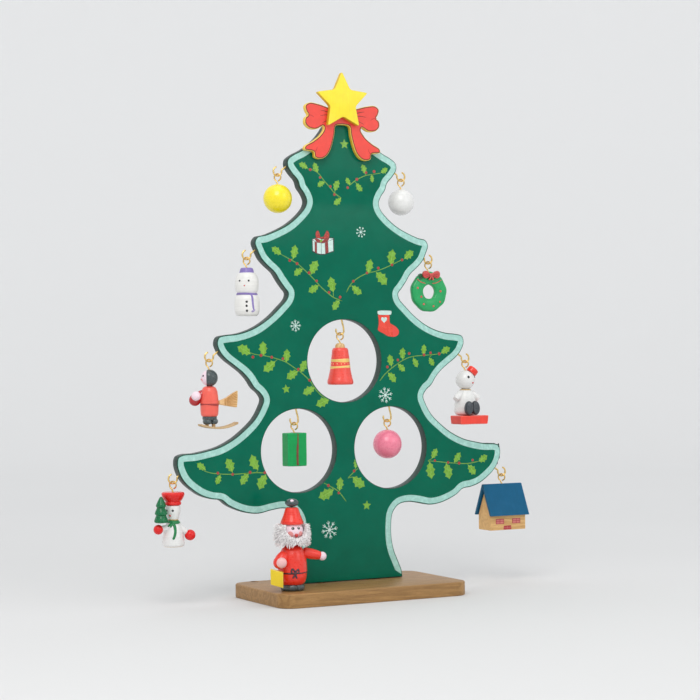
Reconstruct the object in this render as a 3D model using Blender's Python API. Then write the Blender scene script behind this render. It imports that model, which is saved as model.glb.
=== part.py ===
"""Wooden christmas tree that stands on a plate, with hanging ornaments.

Metres, +Z up. The tree faces -Y. The origin is in the middle of the stand's underside,
below the trunk. Design numbers are millimetres and are scaled by MM.
"""

import math

import bmesh
import bpy
import numpy as np
from mathutils import Matrix, Vector

MM = 0.001
GAP = 0.3  # between pieces that touch

# Stand plate and dowels
STAND_W, STAND_FRONT, STAND_BACK, STAND_H, STAND_R = 120.0, 42.0, 28.0, 8.0, 9.0
DOWEL_R, DOWEL_X, DOWEL_UP, DOWEL_DOWN = 1.5, 16.0, 12.0, 5.5

# Tree board
BOARD_T = 6.0
BOARD_Z = STAND_H + GAP  # underside of the trunk
HOLE_R = 24.0
HOLES = ((0.0, 127.4), (-30.0, 76.3), (30.0, 76.3))

# Bow and star
BOW_T, STAR_T = 3.0, 3.0
BOW_X, STAR_X, STAR_Z = -1.5, -2.8, 276.8
STAR_R, STAR_IN, STAR_TILT = 17.4, 8.6, 1.5

# Screw hooks and screw eyes
HOOK_WIRE, HOOK_U = 0.5, 2.6
EYE_WIRE, EYE_R, EYE_CLEAR, EYE_TWIST = 0.42, 2.1, 0.25, 35.0
PILOT_R = 0.8
EYE_TOP = HOOK_WIRE + EYE_WIRE + EYE_CLEAR
EYE_MID = EYE_TOP - EYE_R
ORN_TOP = -4.7  # top of every hanging ornament below its hook wire
EYE_DEPTH = 2.8

# Right half of the tree outline, from the trunk's corner up: x and height above the trunk's end
TRUNK = ((37, 0), (36.5, 4), (34, 10), (31.5, 16), (30, 23), (29.8, 31), (31, 38), (35, 42.5))
TIER_4 = (
    (41, 43.8), (48, 43), (56, 41.5), (63, 42.2), (70, 44.5), (75, 47), (79, 50), (85, 51),
    (91, 53), (96.5, 56.5), (101.5, 61), (104.5, 66), (105.8, 71), (105, 75), (102, 76.4),
    (95, 76.8), (88, 78), (80, 80), (71.5, 84), (64.5, 89), (58, 95), (54, 101.5),
)
TIER_3 = (
    (52.5, 106), (54.5, 109.5), (58, 112.5), (61.5, 117.5), (65, 121.2), (70, 125), (75.5, 129),
    (79, 133), (80.8, 138), (79.5, 141.5), (75, 142.7), (69, 143.3), (62, 145), (55, 148),
    (47.5, 153), (41, 159),
)
TIER_2 = (
    (37, 163.3), (36.2, 166.5), (38.5, 169.5), (41.5, 173.5), (44.5, 178), (49.5, 182.3),
    (53, 186), (55.5, 191), (56.8, 195), (55, 198.3), (50, 199.5), (43, 202.2), (35.5, 206),
    (28.5, 211.5),
)
TIER_1 = (
    (24.7, 216), (23.8, 219.5), (25.3, 223.3), (28, 227), (29.4, 231), (33, 235), (35.7, 239.3),
    (35.3, 243), (31.5, 246), (27, 248.2), (21, 252), (15.5, 257), (11, 263), (7.2, 269),
    (4, 274),
)
TOP = (0, 277)

# Right half of the bow: x from its middle, height above the trunk's end
BOW = (
    (0, 272), (8.3, 273.2), (15.5, 275.1), (21.5, 275.6), (24, 273.6), (23.4, 270.6),
    (22.2, 268.5), (24, 266.8), (24.2, 263.6), (21.6, 261), (17, 260.6), (12.5, 262.6),
    (12, 261), (14.5, 257.2), (19.5, 253.4), (24.3, 250.6), (24.6, 248.6), (18.8, 247.4),
    (18.2, 244.6), (15.5, 243.6), (12, 244.4), (9, 247.4), (7, 252), (5.4, 258), (4.4, 263),
    (0, 263.9),
)

# Hooks: where the wire's low point is, and which side the shank leaves on
BRANCH_HOOKS = (
    ("hook_left_1", -40.6, 233.5), ("hook_left_2", -60.6, 185.5),
    ("hook_left_3", -84.4, 128.0), ("hook_left_4", -107.1, 60.5),
    ("hook_right_1", 40.3, 233.0), ("hook_right_2", 58.3, 184.5),
    ("hook_right_3", 83.3, 125.5), ("hook_right_4", 108.3, 56.5),
)
HOLE_HOOKS = (
    ("hook_top_hole", -1.4, 142.5), ("hook_lower_left_hole", -31.6, 91.2),
    ("hook_lower_right_hole", 29.4, 91.4),
)
BRANCH_SHANK = ((2.72, 3.4), (0.8, 0.6), 9.0)
HOLE_SHANK = ((2.35, 4.2), (-0.25, 0.968), 11.0)

SANTA_X, SANTA_Y = -46.0, -25.0

for old in list(bpy.data.objects):
    bpy.data.objects.remove(old, do_unlink=True)


def material(name, rgb, rough, metal=0.0):
    mat = bpy.data.materials.new(name)
    mat.use_nodes = True
    bsdf = mat.node_tree.nodes["Principled BSDF"]
    bsdf.inputs["Base Color"].default_value = (*rgb, 1.0)
    bsdf.inputs["Roughness"].default_value = rough
    bsdf.inputs["Metallic"].default_value = metal
    mat.diffuse_color = (*rgb, 1.0)
    return mat


MATS = {
    "tree_green": material("tree_green", (0.0, 0.12, 0.06), 0.25),
    "stand_brown": material("stand_brown", (0.33, 0.19, 0.08), 0.6),
    "dowel_wood": material("dowel_wood", (0.62, 0.38, 0.2), 0.6),
    "raw_wood": material("raw_wood", (0.55, 0.36, 0.17), 0.6),
    "brass": material("brass", (0.72, 0.53, 0.2), 0.25, 1.0),
    "bow_red": material("bow_red", (0.8, 0.06, 0.04), 0.4),
    "star_yellow": material("star_yellow", (0.95, 0.8, 0.05), 0.4),
    "paint_red": material("paint_red", (0.7, 0.03, 0.02), 0.3),
    "paint_white": material("paint_white", (0.8, 0.8, 0.78), 0.3),
    "paint_yellow": material("paint_yellow", (0.9, 0.62, 0.02), 0.3),
    "paint_pink": material("paint_pink", (0.85, 0.16, 0.28), 0.3),
    "paint_green": material("paint_green", (0.0, 0.3, 0.1), 0.35),
    "paint_purple": material("paint_purple", (0.25, 0.2, 0.5), 0.4),
    "paint_blue": material("paint_blue", (0.04, 0.14, 0.25), 0.4),
    "paint_dark": material("paint_dark", (0.05, 0.06, 0.07), 0.4),
    "paint_skin": material("paint_skin", (0.8, 0.42, 0.34), 0.4),
    "fleece": material("fleece", (0.85, 0.84, 0.82), 0.9),
}


def spread(points, per=6, closed=False):
    """Points of a smooth curve through the given ones."""
    p = [np.array(q, float) for q in points]
    p = [p[-1], *p, p[0], p[1]] if closed else [2 * p[0] - p[1], *p, 2 * p[-1] - p[-2]]
    out = []
    for a, b, c, d in zip(p, p[1:], p[2:], p[3:]):
        t = [0.0]
        for u, v in ((a, b), (b, c), (c, d)):
            t.append(t[-1] + max(np.linalg.norm(v - u), 1e-6) ** 0.5)
        for s in np.linspace(t[1], t[2], per, endpoint=False):
            a1 = (t[1] - s) / (t[1] - t[0]) * a + (s - t[0]) / (t[1] - t[0]) * b
            a2 = (t[2] - s) / (t[2] - t[1]) * b + (s - t[1]) / (t[2] - t[1]) * c
            a3 = (t[3] - s) / (t[3] - t[2]) * c + (s - t[2]) / (t[3] - t[2]) * d
            b1 = (t[2] - s) / (t[2] - t[0]) * a1 + (s - t[0]) / (t[2] - t[0]) * a2
            b2 = (t[3] - s) / (t[3] - t[1]) * a2 + (s - t[1]) / (t[3] - t[1]) * a3
            out.append((t[2] - s) / (t[2] - t[1]) * b1 + (s - t[1]) / (t[2] - t[1]) * b2)
    if not closed:
        out.append(p[-2])
    return [tuple(q) for q in out]


def thin(points, tol):
    """Drops points of an open line that lie within tol of the line through their neighbours."""
    if len(points) < 3:
        return list(points)
    a, b = np.array(points[0]), np.array(points[-1])
    along = (b - a) / max(np.linalg.norm(b - a), 1e-9)
    rest = np.array(points) - a
    away = np.linalg.norm(rest - np.outer(rest @ along, along), axis=1)
    far = int(away.argmax())
    if away[far] <= tol:
        return [points[0], points[-1]]
    return thin(points[: far + 1], tol)[:-1] + thin(points[far:], tol)


def mirrored(half):
    """A closed outline from its right half, which starts and ends anywhere right of or on the middle."""
    left = [(-x, z) for x, z in reversed(half) if x > 1e-6]
    return list(half) + left


def clean(bm):
    bmesh.ops.remove_doubles(bm, verts=bm.verts, dist=1e-7)
    bmesh.ops.recalc_face_normals(bm, faces=bm.faces)
    if bm.calc_volume(signed=True) < 0:
        bmesh.ops.reverse_faces(bm, faces=bm.faces)


def add(name, bm, mat, parent=None, loc=(0, 0, 0), turn=None, smooth=True, sharp=35):
    """An object whose mesh is in millimetres in bm, placed in millimetres under its parent."""
    clean(bm)
    bmesh.ops.scale(bm, vec=(MM, MM, MM), verts=bm.verts)
    mesh = bpy.data.meshes.new(name)
    bm.to_mesh(mesh)
    bm.free()
    if smooth:
        mesh.shade_smooth()
        mesh.set_sharp_from_angle(angle=math.radians(sharp))
    mesh.materials.append(MATS[mat] if mat else None)
    obj = bpy.data.objects.new(name, mesh)
    bpy.context.scene.collection.objects.link(obj)
    obj.parent = parent
    obj.location = Vector(loc) * MM
    if turn:
        obj.rotation_euler = [math.radians(a) for a in turn]
    return obj


def empty(name, loc, parent=None):
    obj = bpy.data.objects.new(name, None)
    bpy.context.scene.collection.objects.link(obj)
    obj.empty_display_size = 0.01
    obj.parent = parent
    obj.location = Vector(loc) * MM
    return obj


def combine(obj, cutter, how):
    """Boolean of obj with a hidden helper."""
    cutter.hide_render = True
    cutter.display_type = "WIRE"
    mod = obj.modifiers.new(cutter.name, "BOOLEAN")
    mod.operation = how
    mod.solver = "EXACT"
    mod.object = cutter


def plate(outline, thick, holes=()):
    """A flat board in the XZ plane, its front at -thick / 2, with closed outlines as holes."""
    bm = bmesh.new()
    edges = []
    for loop in (outline, *holes):
        verts = [bm.verts.new((x, -thick / 2, z)) for x, z in loop]
        edges += [bm.edges.new((a, b)) for a, b in zip(verts, verts[1:] + verts[:1])]
    bmesh.ops.triangle_fill(bm, edges=edges, use_beauty=True)
    made = bmesh.ops.extrude_face_region(bm, geom=list(bm.faces))
    moved = [g for g in made["geom"] if isinstance(g, bmesh.types.BMVert)]
    bmesh.ops.translate(bm, vec=(0, thick, 0), verts=moved)
    return bm


def lathe(profile, seg=16):
    """A solid turned about Z from (radius, height) points, from the top's middle to the bottom's."""
    bm = bmesh.new()
    verts = [bm.verts.new((r, 0, z)) for r, z in profile]
    edges = [bm.edges.new((a, b)) for a, b in zip(verts, verts[1:])]
    bmesh.ops.spin(
        bm, geom=verts + edges, cent=(0, 0, 0), axis=(0, 0, 1), angle=math.tau, steps=seg,
        use_merge=True, use_duplicate=False,
    )
    bmesh.ops.remove_doubles(bm, verts=bm.verts, dist=1e-4)
    bmesh.ops.dissolve_degenerate(bm, dist=1e-5, edges=bm.edges)
    return bm


def with_pilot(profile, depth=EYE_DEPTH + 0.5):
    """Puts the screw eye's pilot hole into the top of a turned profile that starts on the axis."""
    top = profile[0][1]
    rest = [q for q in profile if q[0] > PILOT_R + 0.05]
    r1, z1 = rest[0]
    rim = top + (z1 - top) * min(1.0, PILOT_R / r1) ** 2
    return [(0, top - depth), (PILOT_R, top - depth), (PILOT_R, rim), *rest, profile[-1]]


def arc(cr, cz, r, a0, a1, n):
    return [
        (cr + r * math.cos(math.radians(a)), cz + r * math.sin(math.radians(a)))
        for a in np.linspace(a0, a1, n)
    ]


def ball_profile(r, cz, n=9, squash=1.0):
    return [(0, cz + r * squash)] + [
        (x, cz + (z - cz) * squash) for x, z in arc(0, cz, r, 90 - 180 / n, -90 + 180 / n, n - 1)
    ] + [(0, cz - r * squash)]


def ellipsoid(rx, ry, rz, at=(0, 0, 0), u=12, v=8):
    bm = bmesh.new()
    bmesh.ops.create_uvsphere(bm, u_segments=u, v_segments=v, radius=1.0)
    bmesh.ops.scale(bm, vec=(rx, ry, rz), verts=bm.verts)
    bmesh.ops.translate(bm, vec=at, verts=bm.verts)
    return bm


def rod(a, b, r1, r2=None, seg=10):
    """A tapered rod from a to b."""
    a, b = Vector(a), Vector(b)
    bm = bmesh.new()
    bmesh.ops.create_cone(
        bm, cap_ends=True, segments=seg, radius1=r1, radius2=r1 if r2 is None else r2,
        depth=(b - a).length,
    )
    turn = (b - a).to_track_quat("Z", "Y").to_matrix().to_4x4()
    bmesh.ops.transform(bm, matrix=Matrix.Translation((a + b) / 2) @ turn, verts=bm.verts)
    return bm


def block(w, d, h, at=(0, 0, 0), bevel=0.0, seg=1):
    bm = bmesh.new()
    bmesh.ops.create_cube(bm, size=1.0)
    bmesh.ops.scale(bm, vec=(w, d, h), verts=bm.verts)
    if bevel:
        bmesh.ops.bevel(bm, geom=list(bm.edges), offset=bevel, segments=seg, affect="EDGES", profile=0.5)
    bmesh.ops.translate(bm, vec=at, verts=bm.verts)
    return bm


def tube(name, path, radius, mat, parent, loc=(0, 0, 0), turn=None):
    """A round wire with flat ends along a path, as a curve."""
    curve = bpy.data.curves.new(name, "CURVE")
    curve.dimensions = "3D"
    curve.bevel_depth = radius * MM
    curve.bevel_resolution = 1
    curve.use_fill_caps = True
    curve.twist_mode = "MINIMUM"
    line = curve.splines.new("POLY")
    line.points.add(len(path) - 1)
    for point, q in zip(line.points, path):
        point.co = (q[0] * MM, q[1] * MM, q[2] * MM, 1.0)
    line.use_smooth = True
    curve.materials.append(MATS[mat])
    obj = bpy.data.objects.new(name, curve)
    bpy.context.scene.collection.objects.link(obj)
    obj.parent = parent
    obj.location = Vector(loc) * MM
    if turn:
        obj.rotation_euler = [math.radians(a) for a in turn]
    return obj


# --- Stand ---------------------------------------------------------------------------------

stand = empty("stand", (0, 0, 0))


def rounded_rectangle(x0, x1, y0, y1, r, n=5):
    out = []
    for cx, cy, a in ((x1 - r, y1 - r, 0), (x0 + r, y1 - r, 90), (x0 + r, y0 + r, 180), (x1 - r, y0 + r, 270)):
        out += arc(cx, cy, r, a, a + 90, n)
    return out


base_bm = plate(
    rounded_rectangle(-STAND_W / 2, STAND_W / 2, -STAND_BACK, STAND_FRONT, STAND_R), STAND_H
)
bmesh.ops.rotate(base_bm, cent=(0, 0, 0), matrix=Matrix.Rotation(math.radians(90), 3, "X"), verts=base_bm.verts)
bmesh.ops.translate(base_bm, vec=(0, 0, STAND_H / 2), verts=base_bm.verts)
base = add("stand_plate", base_bm, "stand_brown", stand)
SOCKET_R, SOCKET_DEPTH, PEG_R, PEG_LONG = 2.1, 6.5, 1.8, 6.0
for i, (x, y, r, deep) in enumerate(
    (
        (-DOWEL_X, 0, DOWEL_R + GAP, DOWEL_DOWN + GAP),
        (DOWEL_X, 0, DOWEL_R + GAP, DOWEL_DOWN + GAP),
        (SANTA_X, SANTA_Y, SOCKET_R, SOCKET_DEPTH),
    )
):
    cut = add(f"stand_socket_{i}", rod((x, y, STAND_H - deep), (x, y, STAND_H + 4), r, seg=12), None, stand)
    combine(base, cut, "DIFFERENCE")

for side, x in (("left", -DOWEL_X), ("right", DOWEL_X)):
    low, high = STAND_H - DOWEL_DOWN, STAND_H + DOWEL_UP
    profile = [(0, high), (DOWEL_R - 0.4, high), (DOWEL_R, high - 0.4), (DOWEL_R, low), (0, low)]
    add(f"dowel_{side}", lathe(profile, 12), "dowel_wood", stand, (x, 0, 0))

# --- Tree board, bow and star ----------------------------------------------------------------

tree = empty("tree", (0, 0, BOARD_Z))
half = spread(TRUNK + TIER_4 + TIER_3 + TIER_2 + TIER_1, 5)
half = thin([(x, z) for x, z in half] + [(2, 276.3)], 0.1)
outline = mirrored([*half, TOP])


def circle(cx, cz, r, n=32):
    return [(cx + r * math.cos(a), cz + r * math.sin(a)) for a in np.linspace(0, math.tau, n, endpoint=False)]


board = add("tree_board", plate(outline, BOARD_T, [circle(x, z, HOLE_R) for x, z in HOLES]), "tree_green", tree)
for side, x in (("left", -DOWEL_X), ("right", DOWEL_X)):
    cut = add(
        f"trunk_socket_{side}", rod((x, 0, -4), (x, 0, DOWEL_UP - GAP + 1.0), DOWEL_R + GAP, seg=12), None, tree
    )
    combine(board, cut, "DIFFERENCE")

bow_half = thin(spread(BOW, 4), 0.1)
bow_y = -BOARD_T / 2 - GAP - BOW_T / 2
add("bow", plate(mirrored(bow_half), BOW_T), "bow_red", tree, (BOW_X, bow_y, 0))

star_points = []
for i in range(10):
    a = math.radians(90 + STAR_TILT + 36 * i)
    r = STAR_IN if i % 2 else STAR_R - 0.9
    if i % 2:
        star_points.append((r * math.cos(a), r * math.sin(a)))
    else:
        star_points += [
            (r * math.cos(a) + 0.9 * math.cos(b), r * math.sin(a) + 0.9 * math.sin(b))
            for b in (a - 0.9, a - 0.3, a + 0.3, a + 0.9)
        ]
star_y = bow_y - BOW_T / 2 - GAP - STAR_T / 2
add("star", plate(star_points, STAR_T), "star_yellow", tree, (STAR_X, star_y, STAR_Z), smooth=False)

# --- Screw hooks ---------------------------------------------------------------------------

pivots = {}


def hook_path(side, shank, free_end):
    (sx, sz), (dx, dz), long = shank
    bend = [(q[0], q[1]) for q in arc(0, HOOK_U, HOOK_U, free_end, 348, 11)]
    tip = (sx + dx * long, sz + dz * long)
    return [(x * side, 0, z) for x, z in [*bend, (sx, sz), tip]]


def pilot(name, x, z, side, shank):
    (sx, sz), (dx, dz), long = shank
    a = (x + side * (sx - 0.2 * dx), 0, z + sz - 0.2 * dz)
    b = (x + side * (sx + dx * (long + GAP)), 0, z + sz + dz * (long + GAP))
    cut = add(name + "_pilot", rod(a, b, PILOT_R, seg=8), None, tree)
    combine(board, cut, "DIFFERENCE")


for name, x, z in BRANCH_HOOKS:
    side = 1 if x < 0 else -1
    pivot = empty(name + "_axis", (x, 0, z), tree)
    tube(name, hook_path(side, BRANCH_SHANK, 112), HOOK_WIRE, "brass", pivot)
    pilot(name, x, z, side, BRANCH_SHANK)
    pivots[name] = (x, z)
for name, x, z in HOLE_HOOKS:
    pivot = empty(name + "_axis", (x, 0, z), tree)
    tube(name, hook_path(1, HOLE_SHANK, 168), HOOK_WIRE, "brass", pivot)
    pilot(name, x, z, 1, HOLE_SHANK)
    pivots[name] = (x, z)

# --- Hanging ornaments ------------------------------------------------------------------------


def eye_path():
    """A screw eye: straight shank, then the ring bent round to close behind it."""
    ring = [
        (EYE_R * math.cos(a), EYE_MID + EYE_R * math.sin(a))
        for a in np.radians(np.linspace(-62, 236, 13))
    ]
    shank = [(0, ORN_TOP - EYE_DEPTH), (0, ORN_TOP + 0.35)]
    t = math.radians(EYE_TWIST)
    return [(-x * math.sin(t), x * math.cos(t), z) for x, z in [*shank, *ring]]


def hang(name, hook):
    """The empty on an ornament's swing axis, with its screw eye."""
    x, z = pivots[hook]
    swing = empty(name + "_swing", (x, 0, z), tree)
    tube(name + "_eye", eye_path(), EYE_WIRE, "brass", swing)
    return swing


def drop(profile):
    """Moves a profile whose top is at 0 to the ornament's top."""
    return [(r, z + ORN_TOP) for r, z in profile]


def piece(name, bm, mat, swing, at=(0, 0, 0), turn=None, sharp=35):
    return add(name, bm, mat, swing, (at[0], at[1], at[2] + ORN_TOP), turn, sharp=sharp)


def bored(obj, swing, x=0.0, y=0.0):
    """The screw eye's pilot hole, cut into a piece that isn't turned."""
    low, high = ORN_TOP - EYE_DEPTH - GAP, ORN_TOP + 1.5
    cut = add(obj.name + "_pilot", rod((x, y, low), (x, y, high), PILOT_R, seg=8), None, swing)
    combine(obj, cut, "DIFFERENCE")


# Balls
for name, hook, mat, r in (
    ("yellow_ball", "hook_left_1", "paint_yellow", 8.3),
    ("white_ball", "hook_right_1", "paint_white", 7.75),
    ("pink_ball", "hook_lower_right_hole", "paint_pink", 8.5),
):
    s = hang(name, hook)
    add(name, lathe(with_pilot(drop(ball_profile(r, -r, 9))), 16), mat, s)

# Bell
s = hang("bell", "hook_top_hole")
bell = [
    (0, 0), (1.6, -0.1), (2.7, -0.9), (3.0, -2.4), (4.3, -3.0), (4.8, -4.2), (5.3, -8), (5.8, -13),
    (6.3, -17), (7.0, -20.3), (7.6, -22.3), (7.6, -23.6), (6.9, -24.2), (0, -24.2),
]
add("bell", lathe(with_pilot(drop(bell)), 14), "paint_red", s)

# Gift box
s = hang("gift_box", "hook_lower_left_hole")
gift = piece("gift_box", block(12, 8, 19, (0, 0, -9.5), 0.8, 2), "paint_green", s)
bored(gift, s)

# Purple-capped snowman: head and body turned in one, scarf round the neck
s = hang("cap_snowman", "hook_left_2")
figure = [
    (0, 0), (3.4, -0.1), (4.0, -1.2), (4.2, -2.6), (5.4, -3.2), (6.4, -4.6), (6.75, -7), (6.75, -10.5), (6.3, -13.0),
    (5.5, -14.3), (5.2, -14.9), (6.0, -15.6), (6.9, -17.0), (7.1, -20), (7.05, -24.5), (6.6, -26.6), (5.8, -27.5),
    (0, -27.6),
]
add("cap_snowman_body", lathe(with_pilot(drop(figure)), 14), "paint_white", s)
scarf = lathe([*arc(5.95, -14.9, 0.95, 0, 360, 7)], 14)
scarf_ring = piece("cap_snowman_scarf", scarf, "paint_purple", s)
tail = piece("cap_snowman_scarf_tail", block(1.3, 2.2, 9.8, (0, 0.45, -4.4), 0.25), None, s, (0.1, -7.3, -14.7), (-4, -5, 3))
combine(scarf_ring, tail, "UNION")
near = [(0, -10.5), *[(r + GAP + 0.1, z) for r, z in figure[7:-1]], (0, -27.6)]
combine(scarf_ring, piece("cap_snowman_scarf_room", lathe(near, 14), None, s), "DIFFERENCE")

# Skier: boots and coat turned in one with the arm, head, broom, runner
s = hang("skier", "hook_left_3")
add("skier_head", lathe(with_pilot(drop(ball_profile(4.6, -4.6, 8))), 12), "paint_dark", s)
coat = [
    (0, -9.3), (2.4, -9.3), (3.9, -10.2), (4.8, -12.6), (5.1, -16), (5.1, -21.5), (4.8, -25.2), (3.9, -26.2),
    (3.5, -27.4), (4.3, -28.3), (4.5, -30.0), (4.0, -30.4), (0, -30.4),
]
coat_obj = add("skier_body", lathe(drop(coat), 12), "paint_red", s)
arm = piece("skier_arm", rod((-2.5, 0.8, -12.6), (-8.2, 2.4, -17.4), 2.2, 2.7, 10), None, s)
hand = piece("skier_hand", ellipsoid(2.65, 2.65, 2.65, (-8.0, 0.2, -14.6), 10, 7), None, s)
combine(coat_obj, arm, "UNION")
combine(coat_obj, hand, "UNION")
RUN_LOW, RUN_X = -32.15, 5.2


def runner_top(x):
    return RUN_LOW + (0.0155 if x < RUN_X else 0.021) * (x - RUN_X) ** 2


run_at = (-6, -3, 0, 2.6, 5.2, 8, 11, 13.8, 16.4)
runner = plate([(x, runner_top(x)) for x in run_at] + [(x, runner_top(x) - 1.1) for x in reversed(run_at)], 6.0)
piece("skier_runner", runner, "raw_wood", s, sharp=50)
broom = plate([(5.6, -17.4), (5.6, -19.6), (9.5, -20.3), (16.4, -21.4), (17, -11.9), (10, -15.9)], 2.4)
piece("skier_broom", broom, "raw_wood", s, sharp=50)

# Tall snowman with a small tree
s = hang("tall_snowman", "hook_left_4")
hat = [(0, 0), (5.6, 0), (6.2, -0.7), (5.8, -2.2), (4.5, -5.2), (4.4, -7.2), (0, -7.2)]
add("tall_snowman_hat", lathe(with_pilot(drop(hat)), 14), "paint_red", s)
head = [(0, -7.5), (3.9, -7.5), (4.1, -9), (3.8, -12.2), (2.9, -15.2), (2.3, -15.9), (0, -15.9)]
add("tall_snowman_head", lathe(drop(head), 14), "paint_white", s)
body = [(0, -16.2), (2.6, -16.2), (3.6, -17.2), (4.8, -20.4), (6.0, -26), (6.3, -29.2), (5.4, -30.2), (0, -30.2)]
snow = add("tall_snowman_body", lathe(drop(body), 14), "paint_white", s)
for tag, bm in (
    ("arm", rod((2.6, -0.5, -19.4), (7.4, -1.4, -22.8), 2.0, 1.5, 8)),
    ("mitten_right", ellipsoid(3.0, 3.0, 3.0, (9.2, -1.9, -24.2), 10, 7)),
    ("mitten_left", ellipsoid(2.7, 2.7, 2.7, (-9.2, -0.6, -20.4), 10, 7)),
    ("sleeve", rod((-2.6, -0.5, -19.6), (-8.0, -0.6, -20.3), 1.8, 1.5, 8)),
):
    combine(snow, piece("tall_snowman_" + tag, bm, None, s), "UNION")
fir = [
    (0, 1.2), (1.8, -1.6), (2.8, -4.2), (2.2, -4.9), (3.5, -8.3), (2.7, -9.1), (3.8, -12.6), (3.2, -13.4), (0, -13.5)
]
piece("tall_snowman_tree", lathe([(r, z - 3.2) for r, z in fir], 12), "paint_green", s, (-8.1, -2.3, 0))
neck = lathe([*arc(3.7, -16.2, 0.95, 0, 360, 7)], 12)
neck_obj = piece("tall_snowman_scarf", neck, "paint_green", s)
flap = piece("tall_snowman_scarf_end", block(2.2, 1.1, 7.2, (0, 0, -3.3), 0.3), None, s, (-2.0, -4.4, -16.0), (-14, 0, -24))
combine(neck_obj, flap, "UNION")
room_profile = [(0, -13.0), *[(r + GAP, z) for r, z in ((3.6, -13.0), (2.9, -15.2), (2.7, -16.2), (3.6, -17.2), (4.8, -20.4), (6.0, -26))], (0, -26)]
combine(neck_obj, piece("tall_snowman_scarf_room", lathe(room_profile, 16), None, s), "DIFFERENCE")

# Snowman on a sled
s = hang("sled_snowman", "hook_right_3")
sled_head = add("sled_snowman_head", lathe(with_pilot(drop(ball_profile(5.8, -5.8, 8))), 14), "paint_white", s)
CAP_AT, CAP_DIR = (4.65, -0.82, -0.37), (0.646, -0.114, 0.755)
cap_ends = [tuple(c + k * d for c, d in zip(CAP_AT, CAP_DIR)) for k in (-1.75, 1.75)]
combine(sled_head, piece("sled_snowman_cap", rod(*cap_ends, 3.25, seg=14), None, s), "UNION")
torso = [(0, -11.6), (3.2, -11.6), (4.6, -12.8), (6.0, -17.2), (7.0, -22.0), (6.8, -25.4), (5.4, -26.6), (0, -26.6)]
sitter = add("sled_snowman_body", lathe(drop(torso), 14), "paint_white", s)
for tag, x in (("left", -1), ("right", 1)):
    bm = rod((3.6 * x, -0.5, -13.8), (8.0 * x, -1.8, -17.4), 2.1, 1.9, 8)
    combine(sitter, piece(f"sled_snowman_arm_{tag}", bm, None, s), "UNION")
boots = piece("sled_snowman_boots", ellipsoid(2.6, 3.0, 4.25, (-3.3, -9.1, -22.45), 12, 8), "paint_dark", s)
combine(boots, piece("sled_snowman_boot_2", ellipsoid(2.6, 3.0, 4.25, (1.3, -9.1, -22.45), 12, 8), None, s), "UNION")
combine(
    boots,
    piece("sled_snowman_boot_room", lathe([(0, -10), (7.4, -10), (7.4, -26.9), (0, -26.9)], 18), None, s),
    "DIFFERENCE",
)
sled = block(19.6, 12.0, 5.1, (0, -4.3, -29.55), 0.6)
for v in sled.verts:
    v.co.x *= 1.0 if v.co.z > -29.55 else 0.94
piece("sled", sled, "paint_red", s)

# Wreath: a ring of half-round section, front bulged, with a bow on its top
s = hang("wreath", "hook_right_2")
ring = lathe([(8.1 + 3.9 * math.cos(a), 2.3 * math.sin(a)) for a in np.linspace(0, math.tau, 9)], 20)
bmesh.ops.rotate(ring, cent=(0, 0, 0), matrix=Matrix.Rotation(math.radians(90), 3, "X"), verts=ring.verts)
wreath = piece("wreath", ring, "paint_green", s, (0, 0, -12.0))
bored(wreath, s)
loops = plate(
    mirrored(
        thin(
            spread(
                ((0, -1.4), (1.2, -1.2), (3.4, -0.2), (5.2, 0.2), (5.8, -1.8), (5.0, -4.0), (3.2, -3.7), (1.2, -2.9), (0, -2.8)), 3
            ), 0.05,
        )
    ), 1.6
)
piece("wreath_bow", loops, "paint_red", s, (0, -3.5, 0))

# House: gabled block with a steep roof of two joined slopes
s = hang("house", "hook_right_4")
RIDGE, EAVE, SIDE, DEEP, OVER = 0.0, -18.8, 24.8, 8.2, 27.4
slope = (DEEP + 1.4) / (RIDGE - EAVE)


def gable(width, points):
    bm = bmesh.new()
    verts = [bm.verts.new((-width / 2, y, z)) for y, z in points]
    bm.faces.new(verts)
    made = bmesh.ops.extrude_face_region(bm, geom=list(bm.faces))
    moved = [g for g in made["geom"] if isinstance(g, bmesh.types.BMVert)]
    bmesh.ops.translate(bm, vec=(width, 0, 0), verts=moved)
    return bm


roof_t = 1.9
roof_bm = gable(
    OVER,
    [(-0.9, RIDGE), (0.9, RIDGE), (DEEP + 1.4, EAVE), (DEEP + 1.4 - roof_t, EAVE), (0, RIDGE - roof_t / slope * 0.78),
     (-DEEP - 1.4 + roof_t, EAVE), (-DEEP - 1.4, EAVE)],
)
roof = piece("house_roof", roof_bm, "paint_blue", s, sharp=20)
bored(roof, s)
inner_top = RIDGE - roof_t / slope * 0.78 - 1.2
wall = DEEP - 1.3
walls = gable(
    SIDE,
    [(-0.0, inner_top), (wall, inner_top - (wall + 0.0) / slope * 1.0 - 0.6), (wall, -27.6), (-wall, -27.6),
     (-wall, inner_top - (wall + 0.0) / slope * 1.0 - 0.6)],
)
house = piece("house_body", walls, "raw_wood", s, sharp=20)
bored(house, s)

# --- Santa, standing in the stand's socket -------------------------------------------------------

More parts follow.
